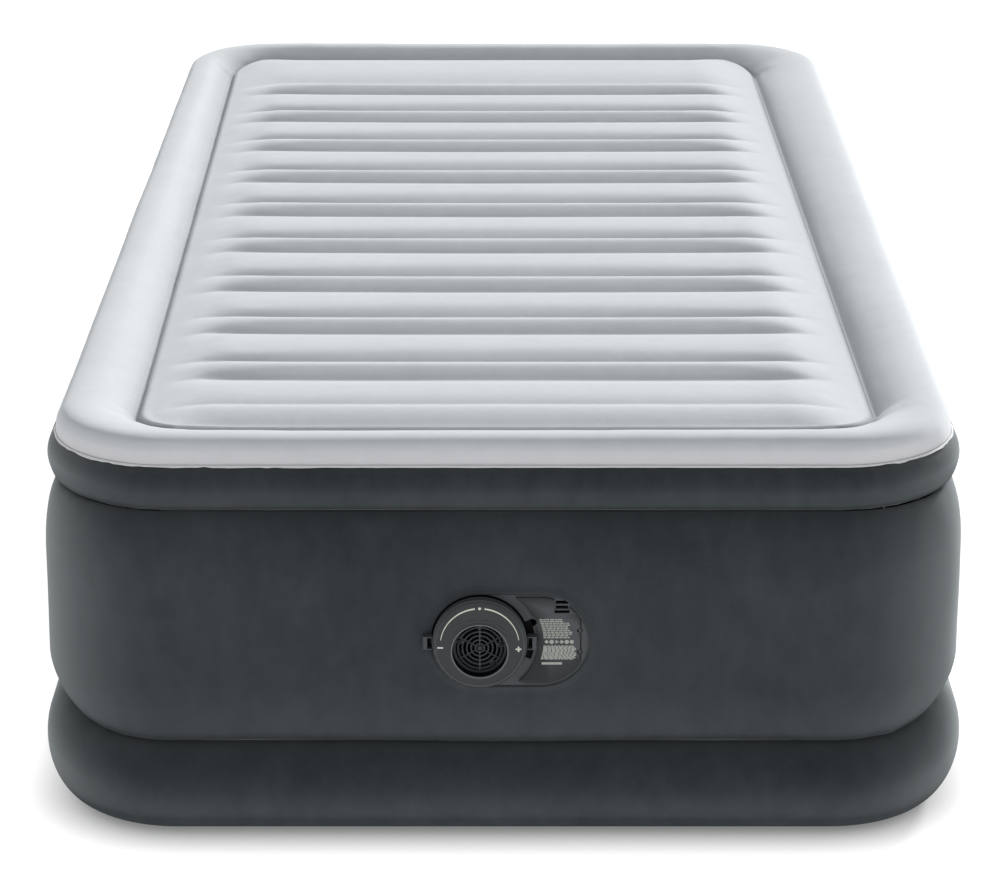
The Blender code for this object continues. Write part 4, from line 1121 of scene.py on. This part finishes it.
def stage():
    floor_mesh = bpy.data.meshes.new("floor")
    reach = 30.0
    corners = [(-reach, -reach, 0), (reach, -reach, 0), (reach, reach, 0), (-reach, reach, 0)]
    floor_mesh.from_pydata(corners, [], [(0, 1, 2, 3)])
    floor = bpy.data.objects.new("floor", floor_mesh)
    bpy.context.scene.collection.objects.link(floor)
    n = Nodes("studio_paper")
    fibre = n.noise(400.0, 3.0)
    # Painted contact shadow: the floor's glow drops where ambient occlusion finds the bed close by.
    near = n.add("ShaderNodeAmbientOcclusion", samples=16)
    near.inputs["Distance"].default_value = 0.055
    glow_with_painted_contact_shadow = n.ramp(near.outputs["AO"], 0.10, 0.86, 0.20, 0.92)
    n.set(Base_Color=n.mix(n.ramp(fibre, 0.3, 0.7), (0.38, 0.38, 0.38), (0.42, 0.42, 0.42)), Roughness=0.9)
    from_below = n.add("ShaderNodeNewGeometry").outputs["Backfacing"]
    n.set(Specular_IOR_Level=0.0, Emission_Color=(1, 1, 1, 1), Emission_Strength=glow_with_painted_contact_shadow)
    n.set(Alpha=n.ramp(from_below, 0.0, 1.0, 1.0, 0.0))
    floor_mesh.materials.append(n.material)


def area_light(name, place, target, size, power, colour=(1, 1, 1)):
    data = bpy.data.lights.new(name, "AREA")
    data.shape = "RECTANGLE"
    data.size, data.size_y = size
    data.energy = power
    data.color = colour
    lamp = bpy.data.objects.new(name, data)
    lamp.location = place
    lamp.rotation_euler = (Vector(target) - Vector(place)).to_track_quat("-Z", "Y").to_euler()
    bpy.context.scene.collection.objects.link(lamp)


def sun_light(name, towards, strength, spread):
    """A distant lamp that shines from a direction, softened over an angle."""
    data = bpy.data.lights.new(name, "SUN")
    data.energy = strength
    data.angle = math.radians(spread)
    lamp = bpy.data.objects.new(name, data)
    lamp.rotation_euler = Vector(towards).to_track_quat("Z", "Y").to_euler()
    bpy.context.scene.collection.objects.link(lamp)


def world_light():
    """White to the camera; a softer sky, brighter behind the bed, for the light itself."""
    world = bpy.data.worlds.new("studio")
    bpy.context.scene.world = world
    world.use_nodes = True
    tree = world.node_tree
    output = tree.nodes["World Output"]
    light = tree.nodes["Background"]
    backdrop = tree.nodes.new("ShaderNodeBackground")
    backdrop.inputs["Color"].default_value = (1, 1, 1, 1)
    backdrop.inputs["Strength"].default_value = 1.0
    light.inputs["Color"].default_value = (0.97, 0.985, 1.0, 1)
    place = tree.nodes.new("ShaderNodeTexCoord")
    axes = tree.nodes.new("ShaderNodeSeparateXYZ")
    tree.links.new(place.outputs["Generated"], axes.inputs[0])
    behind = tree.nodes.new("ShaderNodeMapRange")
    tree.links.new(axes.outputs["Y"], behind.inputs["Value"])
    for key, value in (("From Min", -0.2), ("From Max", 1.0), ("To Min", 0.30), ("To Max", 0.40)):
        behind.inputs[key].default_value = value
    tree.links.new(behind.outputs["Result"], light.inputs["Strength"])
    path = tree.nodes.new("ShaderNodeLightPath")
    mix = tree.nodes.new("ShaderNodeMixShader")
    tree.links.new(path.outputs["Is Camera Ray"], mix.inputs[0])
    tree.links.new(light.outputs[0], mix.inputs[1])
    tree.links.new(backdrop.outputs[0], mix.inputs[2])
    tree.links.new(mix.outputs[0], output.inputs["Surface"])


def camera():
    data = bpy.data.cameras.new("camera")
    data.sensor_width = 36.0
    data.lens = 121.06
    data.clip_end = 100
    item = bpy.data.objects.new("camera", data)
    item.location = (0.0, -4.18262, 1.57885)
    item.rotation_euler = (math.radians(90 - 19.2063), 0, 0)
    bpy.context.scene.collection.objects.link(item)
    bpy.context.scene.camera = item


def main():
    base_ring()
    bottom_sheet()
    main_wall()
    upper_band()
    border_inner_wall()
    border_top()
    seam_trim()
    sleeping_panel()
    control_dial()
    dial_marks()
    vent_grille()
    grille_screws()
    front_plate()
    cord_lid()
    lid_label()
    weld_ring()
    dress_cad_nodes()
    stage()
    sun_light("key", (0.47, 0.77, 0.37), 3.45, 12)
    sun_light("fill", (0.0, -0.60, 0.80), 0.26, 100)
    world_light()
    camera()
    bpy.context.scene.view_settings.view_transform = "Standard"


main()
